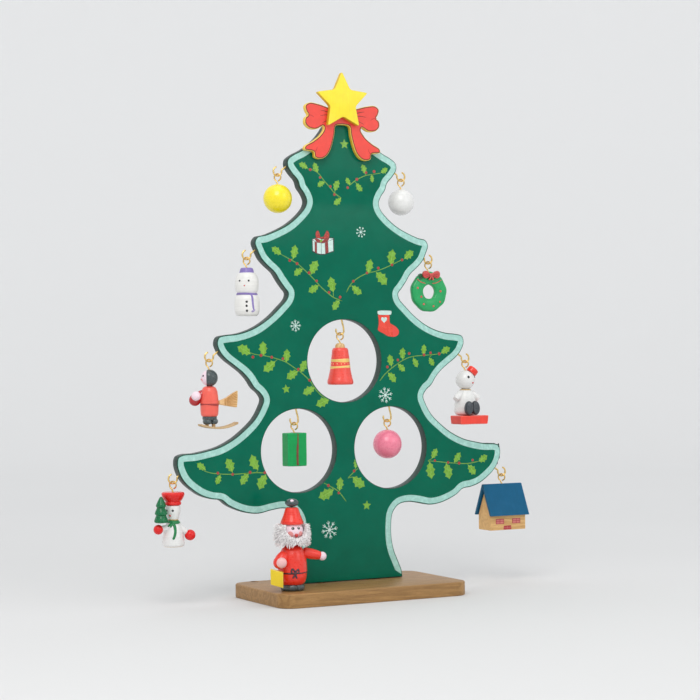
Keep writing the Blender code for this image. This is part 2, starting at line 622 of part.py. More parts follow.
santa = empty("santa", (SANTA_X, SANTA_Y, STAND_H + GAP))
barrel = [
    (0, 25.0), (3.4, 25.0), (5.0, 24.3), (7.2, 20.8), (8.0, 16.5), (8.1, 10), (7.7, 5.6), (6.6, 4.0), (6.0, 3.2),
    (6.6, 2.6), (6.8, 0.6), (6.4, 0), (PEG_R, 0), (PEG_R, -PEG_LONG + 0.5), (PEG_R - 0.5, -PEG_LONG), (0, -PEG_LONG),
]
santa_body = add("santa_body", lathe(barrel, 16), "paint_red", santa)
ARM_R = ((6.9, -1.6, 20.6), (15.6, -3.4, 18.6))
arm_bm = rod(ARM_R[0], ARM_R[1], 2.6, 2.2, 10)
arm_right = add("santa_arm_right", arm_bm, "paint_red", santa)
combine(arm_right, add("santa_hand_right", ellipsoid(2.4, 2.4, 2.4, (16.9, -3.6, 18.2), 10, 7), None, santa), "UNION")
arm_left = add("santa_arm_left", rod((-5.6, -2.6, 20.9), (-9.5, -3.0, 16.0), 2.6, 3.5, 10), "paint_red", santa)
combine(arm_left, add("santa_hand_left", ellipsoid(2.9, 2.9, 2.9, (-9.8, -6.6, 16.2), 10, 7), None, santa), "UNION")
for arm_obj in (arm_right, arm_left):
    room = add(arm_obj.name + "_room", lathe([(r + GAP, z) if r else (r, z) for r, z in barrel[:8]] + [(0, 4.0)], 16), None, santa)
    combine(arm_obj, room, "DIFFERENCE")
bag = block(7.0, 4.0, 8.6, (0, 0, 0), 0.7)
for v in bag.verts:
    v.co.z -= 0.3 * v.co.x
add("santa_bag", bag, "paint_yellow", santa, (-12.1, -5.1, 7.7), (0, 0, -28))
HEAD_Z, HEAD_R = 32.6, 6.4
head_profile = [(0, HEAD_Z + HEAD_R), *arc(0, HEAD_Z, HEAD_R, 70, -70, 8), (0, 25.3)]
add("santa_head", lathe(head_profile, 14), "paint_skin", santa)
hair = lathe([(8.7 + 1.9 * math.cos(a), 31.0 + 6.2 * math.sin(a)) for a in np.linspace(0, math.tau, 9)], 16)
beard = add("santa_beard", hair, "fleece", santa)
combine(beard, add("santa_face_opening", ellipsoid(6.6, 8.0, 6.4, (0, -9.0, 35.2), 12, 8), None, santa), "DIFFERENCE")
hat_profile = [(0, 46.1), (3.1, 46.1), (3.7, 45.4), (4.9, 42.0), (6.2, 38.9), (6.6, 37.5), (6.3, 36.7), (5.4, 36.7)]
hat_inner = arc(0, HEAD_Z, HEAD_R + GAP, 41, 84, 5)
add("santa_hat", lathe(hat_profile + hat_inner + [(0, HEAD_Z + HEAD_R + GAP)], 14), "paint_red", santa)
add("santa_pompom", ellipsoid(3.85, 3.85, 2.25, (0, 0, 48.65), 12, 7), "paint_dark", santa)
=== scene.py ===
"""Looks of a wooden christmas tree with hanging ornaments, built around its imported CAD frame.

Blender works in metres. The design numbers here are millimetres and are scaled by MM. The tree
faces -Y, +X is its right as seen from the front, and the stand rests on Z = 0.
"""

import math

import bmesh
import bpy
import numpy as np
from mathutils import Matrix, Vector


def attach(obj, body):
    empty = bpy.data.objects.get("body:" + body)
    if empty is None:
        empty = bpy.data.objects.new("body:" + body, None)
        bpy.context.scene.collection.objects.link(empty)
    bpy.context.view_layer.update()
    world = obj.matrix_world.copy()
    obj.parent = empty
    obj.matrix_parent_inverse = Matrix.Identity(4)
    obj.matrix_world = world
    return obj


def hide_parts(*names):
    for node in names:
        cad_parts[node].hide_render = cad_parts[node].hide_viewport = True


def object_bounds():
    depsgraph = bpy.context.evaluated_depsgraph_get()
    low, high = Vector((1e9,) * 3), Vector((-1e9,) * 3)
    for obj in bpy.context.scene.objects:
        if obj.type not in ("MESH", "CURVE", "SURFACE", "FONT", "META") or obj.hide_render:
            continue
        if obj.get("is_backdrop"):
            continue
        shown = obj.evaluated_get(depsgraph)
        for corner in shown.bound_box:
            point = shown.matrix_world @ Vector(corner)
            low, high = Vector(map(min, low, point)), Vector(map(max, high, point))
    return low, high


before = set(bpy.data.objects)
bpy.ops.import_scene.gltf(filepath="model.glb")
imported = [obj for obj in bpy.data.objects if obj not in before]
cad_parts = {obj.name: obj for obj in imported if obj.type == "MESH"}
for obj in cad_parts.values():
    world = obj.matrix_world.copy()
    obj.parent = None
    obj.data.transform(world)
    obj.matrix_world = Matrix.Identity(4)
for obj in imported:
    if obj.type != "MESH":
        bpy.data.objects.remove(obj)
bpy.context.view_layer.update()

MM = 0.001
BOARD_Z = 8.3  # the end of the trunk above the floor
BOARD_T = 6.0
HOLE_R = 24.0
HOLES = ((0.0, 127.4), (-30.0, 76.3), (30.0, 76.3))
ORN_TOP = -4.7  # top of a hanging ornament below its hook wire's low point
rand = np.random.RandomState(11)

# Right half of the tree outline, from the trunk's corner up: x and height above the trunk's end
TRUNK = ((37, 0), (36.5, 4), (34, 10), (31.5, 16), (30, 23), (29.8, 31), (31, 38), (35, 42.5))
TIER_4 = (
    (41, 43.8), (48, 43), (56, 41.5), (63, 42.2), (70, 44.5), (75, 47), (79, 50), (85, 51),
    (91, 53), (96.5, 56.5), (101.5, 61), (104.5, 66), (105.8, 71), (105, 75), (102, 76.4),
    (95, 76.8), (88, 78), (80, 80), (71.5, 84), (64.5, 89), (58, 95), (54, 101.5),
)
TIER_3 = (
    (52.5, 106), (54.5, 109.5), (58, 112.5), (61.5, 117.5), (65, 121.2), (70, 125), (75.5, 129),
    (79, 133), (80.8, 138), (79.5, 141.5), (75, 142.7), (69, 143.3), (62, 145), (55, 148),
    (47.5, 153), (41, 159),
)
TIER_2 = (
    (37, 163.3), (36.2, 166.5), (38.5, 169.5), (41.5, 173.5), (44.5, 178), (49.5, 182.3),
    (53, 186), (55.5, 191), (56.8, 195), (55, 198.3), (50, 199.5), (43, 202.2), (35.5, 206),
    (28.5, 211.5),
)
TIER_1 = (
    (24.7, 216), (23.8, 219.5), (25.3, 223.3), (28, 227), (29.4, 231), (33, 235), (35.7, 239.3),
    (35.3, 243), (31.5, 246), (27, 248.2), (21, 252), (15.5, 257), (11, 263), (7.2, 269),
    (4, 274),
)
TOP = (0, 277)

# Right half of the bow: x from its middle, height above the trunk's end
BOW = (
    (0, 272), (8.3, 273.2), (15.5, 275.1), (21.5, 275.6), (24, 273.6), (23.4, 270.6),
    (22.2, 268.5), (24, 266.8), (24.2, 263.6), (21.6, 261), (17, 260.6), (12.5, 262.6),
    (12, 261), (14.5, 257.2), (19.5, 253.4), (24.3, 250.6), (24.6, 248.6), (18.8, 247.4),
    (18.2, 244.6), (15.5, 243.6), (12, 244.4), (9, 247.4), (7, 252), (5.4, 258), (4.4, 263),
    (0, 263.9),
)
BOW_X, BOW_Y, BOW_T = -1.5, -4.8, 3.0
STAR_X, STAR_Y, STAR_Z, STAR_T = -2.8, -8.1, 276.8, 3.0
STAR_R, STAR_IN, STAR_TILT = 17.4, 8.6, 1.5

BRANCH_HOOKS = (
    ("hook_left_1", -40.6, 233.5), ("hook_left_2", -60.6, 185.5),
    ("hook_left_3", -84.4, 128.0), ("hook_left_4", -107.1, 60.5),
    ("hook_right_1", 40.3, 233.0), ("hook_right_2", 58.3, 184.5),
    ("hook_right_3", 83.3, 125.5), ("hook_right_4", 108.3, 56.5),
)
HOLE_HOOKS = (
    ("hook_top_hole", -1.4, 142.5), ("hook_lower_left_hole", -31.6, 91.2),
    ("hook_lower_right_hole", 29.4, 91.4),
)
HANGS = {
    "yellow_ball": "hook_left_1", "cap_snowman": "hook_left_2", "skier": "hook_left_3",
    "tall_snowman": "hook_left_4", "white_ball": "hook_right_1", "wreath": "hook_right_2",
    "sled_snowman": "hook_right_3", "house": "hook_right_4", "bell": "hook_top_hole",
    "gift_box": "hook_lower_left_hole", "pink_ball": "hook_lower_right_hole",
}
PLACE = {name: (x, z) for name, x, z in BRANCH_HOOKS + HOLE_HOOKS}

# Printed sprigs: stem points, then (base, tip) of each leaf, then berries
SPRIGS = (
    (
        ((-22.8, 237.9), (-19.9, 237.5), (-16.2, 235.8), (-12.0, 231.2), (-8.7, 227.9), (-5.3, 224.3),
         (-1.3, 221.8)),
        (((-22.7, 238.2), (-28.5, 240.8)), ((-16.3, 236.0), (-18.7, 241.8)),
         ((-11.8, 230.7), (-16.6, 227.9)), ((-5.3, 225.7), (-2.7, 232.1)), ((-1.3, 221.8), (-6.3, 217.9))),
        ((-21.1, 237.5), (-14.8, 233.2), (-8.2, 228.2), (-5.6, 223.6)),
    ),
    (
        ((25.1, 237.1), (20.1, 236.2), (15.5, 235.4), (11.3, 233.8), (7.6, 231.7), (4.2, 229.2)),
        (((25.1, 237.3), (29.7, 240.2)), ((19.2, 236.0), (19.5, 231.2)), ((14.8, 236.2), (12.6, 241.8)),
         ((8.8, 230.7), (12.8, 226.0)), ((4.8, 229.6), (2.2, 233.8))),
        ((15.3, 237.0), (20.7, 237.8), (9.2, 232.9), (3.1, 227.9)),
    ),
    (
        ((-40.2, 188.5), (-34.5, 185.7), (-29.9, 183.3), (-26.2, 180.4), (-22.8, 177.5), (-19.1, 174.2),
         (-15.3, 170.4), (-11.2, 167.1), (-7.0, 164.2), (-1.2, 162.1)),
        (((-40.2, 188.5), (-46.3, 192.5)), ((-32.7, 186.0), (-31.2, 194.2)),
         ((-26.6, 180.4), (-32.2, 176.5)), ((-21.2, 177.3), (-17.0, 185.4)),
         ((-16.6, 171.0), (-23.2, 167.1)), ((-7.0, 167.1), (-8.8, 176.2)), ((-3.0, 162.5), (-7.4, 156.7))),
        ((-34.8, 185.2), (-30.2, 183.4), (-22.6, 178.2), (-17.8, 173.6), (-9.8, 167.0), (-2.6, 164.3)),
    ),
    (
        ((40.1, 187.1), (36.3, 185.4), (31.3, 183.2), (26.3, 181.2), (21.3, 179.6), (15.5, 178.3),
         (10.5, 176.2), (6.3, 173.5), (3.4, 170.4), (1.6, 167.1)),
        (((40.3, 187.1), (46.8, 191.7)), ((31.3, 183.3), (32.8, 192.7)), ((21.3, 178.9), (28.4, 171.5)),
         ((15.9, 178.3), (18.0, 186.7)), ((5.3, 171.0), (11.8, 166.2))),
        ((38.8, 186.4), (32.0, 183.4), (22.8, 181.4), (15.3, 178.5), (6.2, 173.6)),
    ),
    (
        ((-61.1, 133.0), (-57.6, 131.8), (-51.6, 130.9), (-47.3, 130.0), (-43.0, 128.9), (-37.8, 127.0),
         (-33.5, 124.4), (-29.2, 121.6), (-25.8, 119.0), (-21.9, 115.2), (-18.1, 111.3), (-14.6, 107.9),
         (-12.9, 105.7)),
        (((-60.2, 131.9), (-68.4, 136.2)), ((-51.8, 130.9), (-52.3, 139.2)),
         ((-44.7, 127.6), (-52.3, 122.0)), ((-37.8, 127.0), (-37.2, 134.7)),
         ((-28.6, 121.2), (-24.9, 128.1)), ((-30.3, 121.8), (-37.7, 117.5)),
         ((-19.6, 112.2), (-27.5, 108.7)), ((-10.3, 105.1), (-19.1, 101.8))),
        ((-58.7, 130.2), (-53.6, 131.1), (-46.9, 130.0), (-39.8, 129.1), (-30.1, 122.9), (-23.0, 116.5)),
    ),
    (
        ((63.6, 130.9), (58.5, 130.4), (51.6, 130.0), (46.4, 129.6), (42.1, 128.7), (37.8, 126.8),
         (34.4, 124.9), (31.0, 122.7), (28.4, 120.8), (25.8, 118.6), (23.0, 115.4)),
        (((64.9, 131.3), (71.2, 134.5)), ((52.6, 130.4), (53.3, 136.7)), ((38.7, 127.8), (38.9, 134.9)),
         ((31.0, 123.8), (29.7, 130.9)), ((56.6, 128.5), (59.8, 123.8)), ((45.6, 128.5), (48.6, 122.9)),
         ((35.4, 125.1), (40.0, 120.8)), ((28.6, 120.1), (33.7, 114.3))),
        ((63.5, 130.9), (57.6, 131.5), (53.1, 130.4), (43.0, 131.3), (35.3, 127.5), (28.2, 123.5)),
    ),
    (
        ((-89.4, 66.9), (-85.0, 65.6), (-78.8, 64.8), (-71.2, 64.4), (-63.8, 64.6), (-57.5, 64.8),
         (-51.5, 64.4)),
        (((-88.5, 67.5), (-93.8, 71.5)), ((-72.2, 65.6), (-75.6, 73.5)), ((-56.2, 66.2), (-60.2, 75.2)),
         ((-79.6, 64.4), (-82.2, 59.0)), ((-62.2, 64.4), (-66.9, 58.1)), ((-51.2, 63.5), (-55.6, 55.0))),
        ((-81.1, 65.4), (-72.0, 64.4), (-61.2, 65.1), (-52.0, 64.6)),
    ),
    (
        ((55.0, 67.5), (61.2, 66.9), (68.8, 66.0), (75.0, 65.4), (82.5, 65.0), (90.0, 66.0)),
        (((57.8, 68.8), (61.2, 74.8)), ((73.1, 66.0), (77.5, 71.9)), ((90.2, 66.0), (96.5, 69.4)),
         ((56.2, 66.9), (57.5, 56.5)), ((67.5, 65.6), (69.8, 56.0)), ((82.8, 64.0), (87.9, 58.1))),
        ((59.8, 67.5), (68.9, 66.1), (76.5, 65.4), (86.0, 66.9)),
    ),
    (
        ((-15.0, 57.5), (-10.0, 55.0), (-5.0, 51.9), (0.0, 46.0)),
        (((-8.1, 53.1), (-18.1, 48.8)), ((-4.4, 52.2), (-3.5, 60.2))),
        ((-11.5, 55.6), (-4.8, 51.1)),
    ),
    (
        ((10.0, 66.2), (5.6, 63.1), (1.2, 59.4)),
        (((6.2, 64.8), (7.2, 71.2)), ((4.4, 60.0), (12.5, 54.0))),
        ((5.4, 63.4),),
    ),
)

# --- Points and outlines ---------------------------------------------------------------------


def spread(points, per=6, closed=False):
    """Points of a smooth curve through the given ones."""
    p = [np.array(q, float) for q in points]
    p = [p[-1], *p, p[0], p[1]] if closed else [2 * p[0] - p[1], *p, 2 * p[-1] - p[-2]]
    out = []
    for a, b, c, d in zip(p, p[1:], p[2:], p[3:]):
        t = [0.0]
        for u, v in ((a, b), (b, c), (c, d)):
            t.append(t[-1] + max(np.linalg.norm(v - u), 1e-6) ** 0.5)
        for s in np.linspace(t[1], t[2], per, endpoint=False):
            a1 = (t[1] - s) / (t[1] - t[0]) * a + (s - t[0]) / (t[1] - t[0]) * b
            a2 = (t[2] - s) / (t[2] - t[1]) * b + (s - t[1]) / (t[2] - t[1]) * c
            a3 = (t[3] - s) / (t[3] - t[2]) * c + (s - t[2]) / (t[3] - t[2]) * d
            b1 = (t[2] - s) / (t[2] - t[0]) * a1 + (s - t[0]) / (t[2] - t[0]) * a2
            b2 = (t[3] - s) / (t[3] - t[1]) * a2 + (s - t[1]) / (t[3] - t[1]) * a3
            out.append((t[2] - s) / (t[2] - t[1]) * b1 + (s - t[1]) / (t[2] - t[1]) * b2)
    if not closed:
        out.append(p[-2])
    return [tuple(float(v) for v in q) for q in out]


def thin(points, tol):
    """Drops points of an open line that lie within tol of the line through their neighbours."""
    if len(points) < 3:
        return list(points)
    a, b = np.array(points[0]), np.array(points[-1])
    along = (b - a) / max(np.linalg.norm(b - a), 1e-9)
    rest = np.array(points) - a
    away = np.linalg.norm(rest - np.outer(rest @ along, along), axis=1)
    far = int(away.argmax())
    if away[far] <= tol:
        return [points[0], points[-1]]
    return thin(points[: far + 1], tol)[:-1] + thin(points[far:], tol)


def mirrored(half):
    """A closed outline from its right half, which starts and ends on or right of the middle."""
    return list(half) + [(-x, z) for x, z in reversed(half) if x > 1e-6]


def soften(points, r, n=4, closed=True, least=25):
    """Rounds the corners of a line that turn by more than least degrees."""
    p = [np.array(q, float) for q in points]
    out = []
    count = len(p)
    for i, b in enumerate(p):
        if not closed and i in (0, count - 1):
            out.append(tuple(b))
            continue
        a, c = p[i - 1], p[(i + 1) % count]
        u, v = a - b, c - b
        lu, lv = np.linalg.norm(u), np.linalg.norm(v)
        if min(lu, lv) < 1e-9:
            continue
        turn = 180 - math.degrees(math.acos(max(-1, min(1, float(u @ v) / lu / lv))))
        if turn < least:
            out.append(tuple(b))
            continue
        cut = min(r, 0.45 * lu, 0.45 * lv)
        s, e = b + u / lu * cut, b + v / lv * cut
        for t in np.linspace(0, 1, n + 1):
            out.append(tuple((1 - t) ** 2 * s + 2 * t * (1 - t) * b + t * t * e))
    return out


def resampled(points, step, closed=True):
    p = np.array(points, float)
    if closed:
        p = np.vstack([p, p[:1]])
    s = np.concatenate([[0], np.cumsum(np.linalg.norm(np.diff(p, axis=0), axis=1))])
    n = max(int(round(s[-1] / step)), 4)
    t = np.linspace(0, s[-1], n, endpoint=not closed)
    return np.stack([np.interp(t, s, p[:, k]) for k in range(p.shape[1])], 1)


def area_of(loop):
    p = np.array(loop, float)
    q = np.roll(p, -1, 0)
    return float((p[:, 0] * q[:, 1] - q[:, 0] * p[:, 1]).sum()) / 2


def ccw(loop):
    return list(loop) if area_of(loop) > 0 else list(reversed(loop))


def outward(loop):
    """Unit normals that point out of a closed counter-clockwise loop."""
    p = np.array(loop, float)
    a, b = p - np.roll(p, 1, 0), np.roll(p, -1, 0) - p
    a /= np.maximum(np.linalg.norm(a, axis=1, keepdims=True), 1e-9)
    b /= np.maximum(np.linalg.norm(b, axis=1, keepdims=True), 1e-9)
    t = a + b
    t /= np.maximum(np.linalg.norm(t, axis=1, keepdims=True), 1e-9)
    return np.stack([t[:, 1], -t[:, 0]], 1)


def inset(loop, d, step=0.35, slack=0.05):
    """A closed loop moved inward by d (a number, or one for each resampled point)."""
    p = resampled(ccw(loop), step)
    n = outward(p)
    q = p - n * (d(p) if callable(d) else np.full((len(p), 1), d))
    near = np.full(len(q), 1e9)
    for i in range(0, len(q), 200):
        near[i : i + 200] = np.linalg.norm(q[i : i + 200, None] - p[None], axis=2).min(1)
    want = d(p)[:, 0] if callable(d) else np.full(len(p), d)
    keep = near > want - slack
    return p, q, keep


def circle(cx, cz, r, n=128, a0=0.0):
    return [
        (cx + r * math.cos(a), cz + r * math.sin(a))
        for a in np.linspace(a0, a0 + math.tau, n, endpoint=False)
    ]


def arc(cr, cz, r, a0, a1, n):
    return [
        (cr + r * math.cos(math.radians(a)), cz + r * math.sin(math.radians(a)))
        for a in np.linspace(a0, a1, n)
    ]


def stroke(points, width, taper=(1.0, 1.0), per=5):
    """The closed outline of a brush stroke along a smooth line; taper scales its two ends."""
    line = np.array(spread(points, per) if len(points) > 2 else resampled(points, 0.5, False))
    t = np.gradient(line, axis=0)
    t /= np.maximum(np.linalg.norm(t, axis=1, keepdims=True), 1e-9)
    n = np.stack([-t[:, 1], t[:, 0]], 1)
    s = np.linspace(0, 1, len(line))
    half = width / 2 * (taper[0] * (1 - s) + taper[1] * s)
    half *= np.minimum(1, np.minimum(s, 1 - s) * 14 + 0.45)
    return [tuple(q) for q in line + n * half[:, None]] + [
        tuple(q) for q in (line - n * half[:, None])[::-1]
    ]


# --- Materials -------------------------------------------------------------------------------


def srgb(r, g, b):
    """Linear colour of a display colour given as 0 to 255."""
    return tuple(
        c / 255 / 12.92 if c < 10.3 else ((c / 255 + 0.055) / 1.055) ** 2.4 for c in (r, g, b)
    )


def shade(rgb, k, lift=0.0):
    return tuple(min(1.0, max(0.0, c * k + lift)) for c in rgb)


class Look:
    """Writes one procedural material."""

    def __init__(self, name):
        self.mat = bpy.data.materials.new(name)
        self.mat.use_nodes = True
        self.tree = self.mat.node_tree
        self.bsdf = self.tree.nodes["Principled BSDF"]

    def feed(self, socket, value):
        if isinstance(value, bpy.types.NodeSocket):
            self.tree.links.new(value, socket)
        elif isinstance(value, (tuple, list)) and socket.type == "RGBA" and len(value) == 3:
            socket.default_value = (*value, 1.0)
        else:
            socket.default_value = value

    def put(self, kind, inputs=(), **settings):
        node = self.tree.nodes.new(kind)
        for key, value in settings.items():
            setattr(node, key, value)
        for key, value in dict(inputs).items():
            self.feed(node.inputs[key], value)
        return node

    def where(self, scale=(1, 1, 1), turn=(0, 0, 0), shift=(0, 0, 0)):
        """The piece's own coordinates in millimetres, stretched by scale."""
        tex = self.put("ShaderNodeTexCoord")
        return self.put(
            "ShaderNodeMapping",
            {
                "Vector": tex.outputs["Object"],
                "Scale": tuple(1000 * s for s in scale),
                "Rotation": tuple(math.radians(a) for a in turn),
                "Location": shift,
            },
        ).outputs["Vector"]

    def noise(self, vector, scale, detail=3.0, rough=0.55, twist=0.0):
        return self.put(
            "ShaderNodeTexNoise",
            {"Vector": vector, "Scale": scale, "Detail": detail, "Roughness": rough, "Distortion": twist},
        ).outputs["Fac"]

    def ramp(self, fac, stops):
        node = self.put("ShaderNodeValToRGB", {"Fac": fac})
        table = node.color_ramp
        table.elements.remove(table.elements[1])

        def full(c):
            return (c, c, c, 1.0) if isinstance(c, (int, float)) else (*c, 1.0)

        table.elements[0].position, table.elements[0].color = stops[0][0], full(stops[0][1])
        for at, colour in stops[1:]:
            table.elements.new(at).color = full(colour)
        return node.outputs["Color"]

    def mix(self, fac, a, b, how="MIX"):
        node = self.put("ShaderNodeMix", data_type="RGBA", blend_type=how)
        for index, value in ((0, fac), (6, a), (7, b)):
            self.feed(node.inputs[index], value)
        return node.outputs[2]

    def sum(self, op, a, b=0.0, clamp=False):
        node = self.put("ShaderNodeMath", operation=op, use_clamp=clamp)
        self.feed(node.inputs[0], a)
        self.feed(node.inputs[1], b)
        return node.outputs[0]

    def edge(self):
        """How sharp the piece's convex edge is here, 0 to 1, as stored by note_edges."""
        return self.put("ShaderNodeAttribute", attribute_name="edge").outputs["Fac"]

    def tone(self):
        """A number from 0 to 1 that differs at random between the strands or strokes of a piece; on the fleece it also
        rises from root to tip, as painted shade at the roots.
        """
        return self.put("ShaderNodeAttribute", attribute_name="tone").outputs["Fac"]

    def relief(self, height, strength, depth):
        """Bump from a height of 0 to 1 that stands for depth millimetres."""
        bump = self.put("ShaderNodeBump", {"Height": height, "Strength": strength, "Distance": depth * MM})
        self.feed(self.bsdf.inputs["Normal"], bump.outputs["Normal"])

    def finish(self, colour, rough, metal=0.0, coat=0.0, coat_rough=0.1, sheen=0.0, level=0.5):
        self.feed(self.bsdf.inputs["Base Color"], colour)
        self.feed(self.bsdf.inputs["Roughness"], rough)
        self.bsdf.inputs["Metallic"].default_value = metal
        self.bsdf.inputs["Coat Weight"].default_value = coat
        self.bsdf.inputs["Coat Roughness"].default_value = coat_rough
        self.bsdf.inputs["Sheen Weight"].default_value = sheen
        self.bsdf.inputs["Specular IOR Level"].default_value = level
        return self.mat


LINES = {"X": (1.3, 0.05, 0.05), "Y": (0.05, 1.3, 0.05), "Z": (0.05, 0.05, 1.3)}


def paint(name, rgb, rough=0.34, coat=0.3, vary=0.1, lines="Z", under=None, worn=0.5, seed=0.0, grit=1.0, level=0.5):
    """Brushed lacquer on wood: cloudy coats, fine lines left by turning or brushing, dust, thin edges."""
    look = Look(name)
    here = look.where(shift=(seed, seed * 0.7, -seed))
    across = look.where(LINES[lines], shift=(seed, 0, seed))
    cloud = look.noise(here, 0.22, 3, 0.6)
    streak = look.noise(across, 1.0, 3, 0.65)
    dust = look.noise(here, 2.6, 2, 0.6)
    colour = look.ramp(cloud, [(0.28, shade(rgb, 1 - vary)), (0.52, rgb), (0.74, shade(rgb, 1 + vary * 0.7, 0.004))])
    colour = look.mix(look.ramp(streak, [(0.35, 0.22), (0.6, 0.0)]), colour, shade(rgb, 0.72))
    colour = look.mix(look.ramp(dust, [(0.66, 0.0), (0.8, 0.18)]), colour, shade(rgb, 1.25, 0.03))
    thin_edge = look.sum("MULTIPLY", look.edge(), look.ramp(look.noise(here, 0.9, 3, 0.6), [(0.4, 0.15), (0.62, 1.0)]))
    under = under or shade(rgb, 1.15, 0.06)
    colour = look.mix(look.sum("MULTIPLY", thin_edge, worn, clamp=True), colour, under)
    height = look.sum("ADD", look.sum("MULTIPLY", streak, 0.6), look.sum("ADD", look.sum("MULTIPLY", dust, 0.25), cloud))
    look.relief(height, 0.35 * grit, 0.09)
    gloss = look.ramp(look.noise(here, 0.55, 3, 0.6), [(0.3, max(0.05, rough - 0.07)), (0.7, rough + 0.1)])
    return look.finish(colour, gloss, coat=coat, coat_rough=0.12, level=level)


def wood(name, light, dark, axis="X", rough=0.55, coat=0.0, ring=0.5, pores=0.6, seed=0.0, worn=0.35):
    """Bare or stained wood with its grain along axis: rings cut lengthwise, fibres and pores."""
    look = Look(name)
    long, wide = 0.07, 1.0
    scale = tuple(long if a == axis else wide for a in "XYZ")
    here = look.where(scale, shift=(seed, seed * 1.3, seed * 0.6))
    broad = look.noise(here, 0.10, 2, 0.5, 0.35)
    rings = look.sum("PINGPONG", look.sum("MULTIPLY", broad, 9.0), 0.5)
    rings = look.sum("MULTIPLY", rings, 2.0)
    fibre = look.noise(here, 2.4, 4, 0.7)
    pore = look.ramp(look.noise(look.where(tuple(0.16 if a == axis else 1.0 for a in "XYZ"), shift=(seed,) * 3), 3.4, 2, 0.5),
                     [(0.60, 0.0), (0.70, 1.0)])
    middle = tuple((a + b) / 2 for a, b in zip(light, dark))
    colour = look.ramp(rings, [(0.0, shade(light, 1.04)), (0.45, light), (0.8, middle), (1.0, tuple(a * (1 - ring) + b * ring for a, b in zip(light, dark)))])
    colour = look.mix(look.ramp(fibre, [(0.32, 0.5), (0.62, 0.0)]), colour, dark)
    colour = look.mix(look.sum("MULTIPLY", pore, pores * 0.6), colour, shade(dark, 0.62))
    colour = look.mix(look.ramp(look.noise(look.where(), 0.05, 2, 0.5), [(0.35, 0.12), (0.65, 0.0)]), colour, shade(dark, 0.8))
    colour = look.mix(look.sum("MULTIPLY", look.edge(), worn), colour, shade(light, 1.18, 0.02))
    height = look.sum("SUBTRACT", look.sum("ADD", fibre, look.sum("MULTIPLY", rings, 0.35)), look.sum("MULTIPLY", pore, 0.8))
    look.relief(height, 0.5, 0.10)
    gloss = look.ramp(fibre, [(0.3, min(1.0, rough + 0.12)), (0.7, rough - 0.05)])
    return look.finish(colour, gloss, coat=coat, coat_rough=0.2, level=0.4)


def brass(name, rgb, seed=0.0):
    """Drawn brass wire with dull tarnish, brighter and darker in random patches, and dark specks."""
    look = Look(name)
    here = look.where(shift=(seed, seed, seed))
    cloud = look.noise(here, 0.7, 3, 0.65)
    speck = look.noise(here, 3.5, 2, 0.6)
    colour = look.ramp(cloud, [(0.3, shade(rgb, 0.5)), (0.5, rgb), (0.72, shade(rgb, 1.2, 0.03))])
    colour = look.mix(look.ramp(speck, [(0.62, 0.0), (0.76, 0.55)]), colour, shade(rgb, 0.32))
    look.relief(look.sum("ADD", speck, look.noise(here, 9.0, 1, 0.5)), 0.35, 0.03)
    gloss = look.ramp(cloud, [(0.3, 0.42), (0.7, 0.2)])
    return look.finish(colour, gloss, metal=1.0)


# --- Pieces ----------------------------------------------------------------------------------


def note_edges(mesh, low=0.45, high=1.9):
    """Stores on each vertex how strongly the surface bends outward there, per millimetre."""
    bm = bmesh.new()
    bm.from_mesh(mesh)
    value = np.zeros(len(bm.verts))
    for e in bm.edges:
        if len(e.link_faces) != 2:
            continue
        angle = e.calc_face_angle_signed(0.0)
        if angle <= 0.02:
            continue
        a, b = (f.calc_center_median() for f in e.link_faces)
        bend = angle / max((a - b).length / MM, 0.02)
        for v in e.verts:
            value[v.index] = max(value[v.index], bend)
    bm.free()
    value = np.clip((value - low) / (high - low), 0, 1)
    mesh.attributes.new("edge", "FLOAT", "POINT").data.foreach_set("value", value.astype(np.float32))


def body_place(body):
    """Where a body's local origin is, in millimetres."""
    if body.endswith("_hanging"):
        x, z = PLACE[HANGS[body[: -len("_hanging")]]]
        return Vector((x, 0, z + BOARD_Z))
    return {"stand": Vector((0, 0, 0)), "tree": Vector((0, 0, BOARD_Z)), "santa": Vector((-46.0, -25.0, BOARD_Z))}[body]


def make(name, bm, mat, body, at=(0, 0, 0), turn=None, slot=None, stands_for=(), sharp=38, weld=1e-4, parent_at=True):
    """A piece whose mesh is in millimetres in bm, placed in its body's own frame."""
    if weld:
        bmesh.ops.remove_doubles(bm, verts=bm.verts, dist=weld)
    bmesh.ops.recalc_face_normals(bm, faces=bm.faces)
    bmesh.ops.scale(bm, vec=(MM, MM, MM), verts=bm.verts)
    mesh = bpy.data.meshes.new(name)
    bm.to_mesh(mesh)
    bm.free()
    mesh.shade_smooth()
    mesh.set_sharp_from_angle(angle=math.radians(sharp))
    note_edges(mesh)
    for m in mat if isinstance(mat, (list, tuple)) else [mat]:
        mesh.materials.append(m)
    obj = bpy.data.objects.new(name, mesh)
    bpy.context.scene.collection.objects.link(obj)
    obj.location = (body_place(body) + Vector(at)) * MM
    if turn:
        obj.rotation_euler = [math.radians(a) for a in turn]
    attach(obj, body)
    if stands_for:
        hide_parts(*stands_for)
    return obj


def join(target, source, matrix=None):
    """Adds a copy of source's geometry to target."""
    if matrix is not None:
        bmesh.ops.transform(source, matrix=matrix, verts=source.verts)
    mesh = bpy.data.meshes.new("tmp")
    source.to_mesh(mesh)
    source.free()
    target.from_mesh(mesh)
    bpy.data.meshes.remove(mesh)
    return target


def fill(bm, loops, y):
    """Flat faces between closed loops of (x, z) at depth y, and the vertices of each loop."""
    rings, edges = [], []
    for loop in loops:
        verts = [bm.verts.new((x, y, z)) for x, z in loop]
        rings.append(verts)
        edges += [bm.edges.new((a, b)) for a, b in zip(verts, verts[1:] + verts[:1])]
    bmesh.ops.triangle_fill(bm, edges=edges, use_beauty=True)
    return rings


def stitch(bm, a, b):
    for i in range(len(a)):
        j = (i + 1) % len(a)
        bm.faces.new((a[i], a[j], b[j], b[i]))


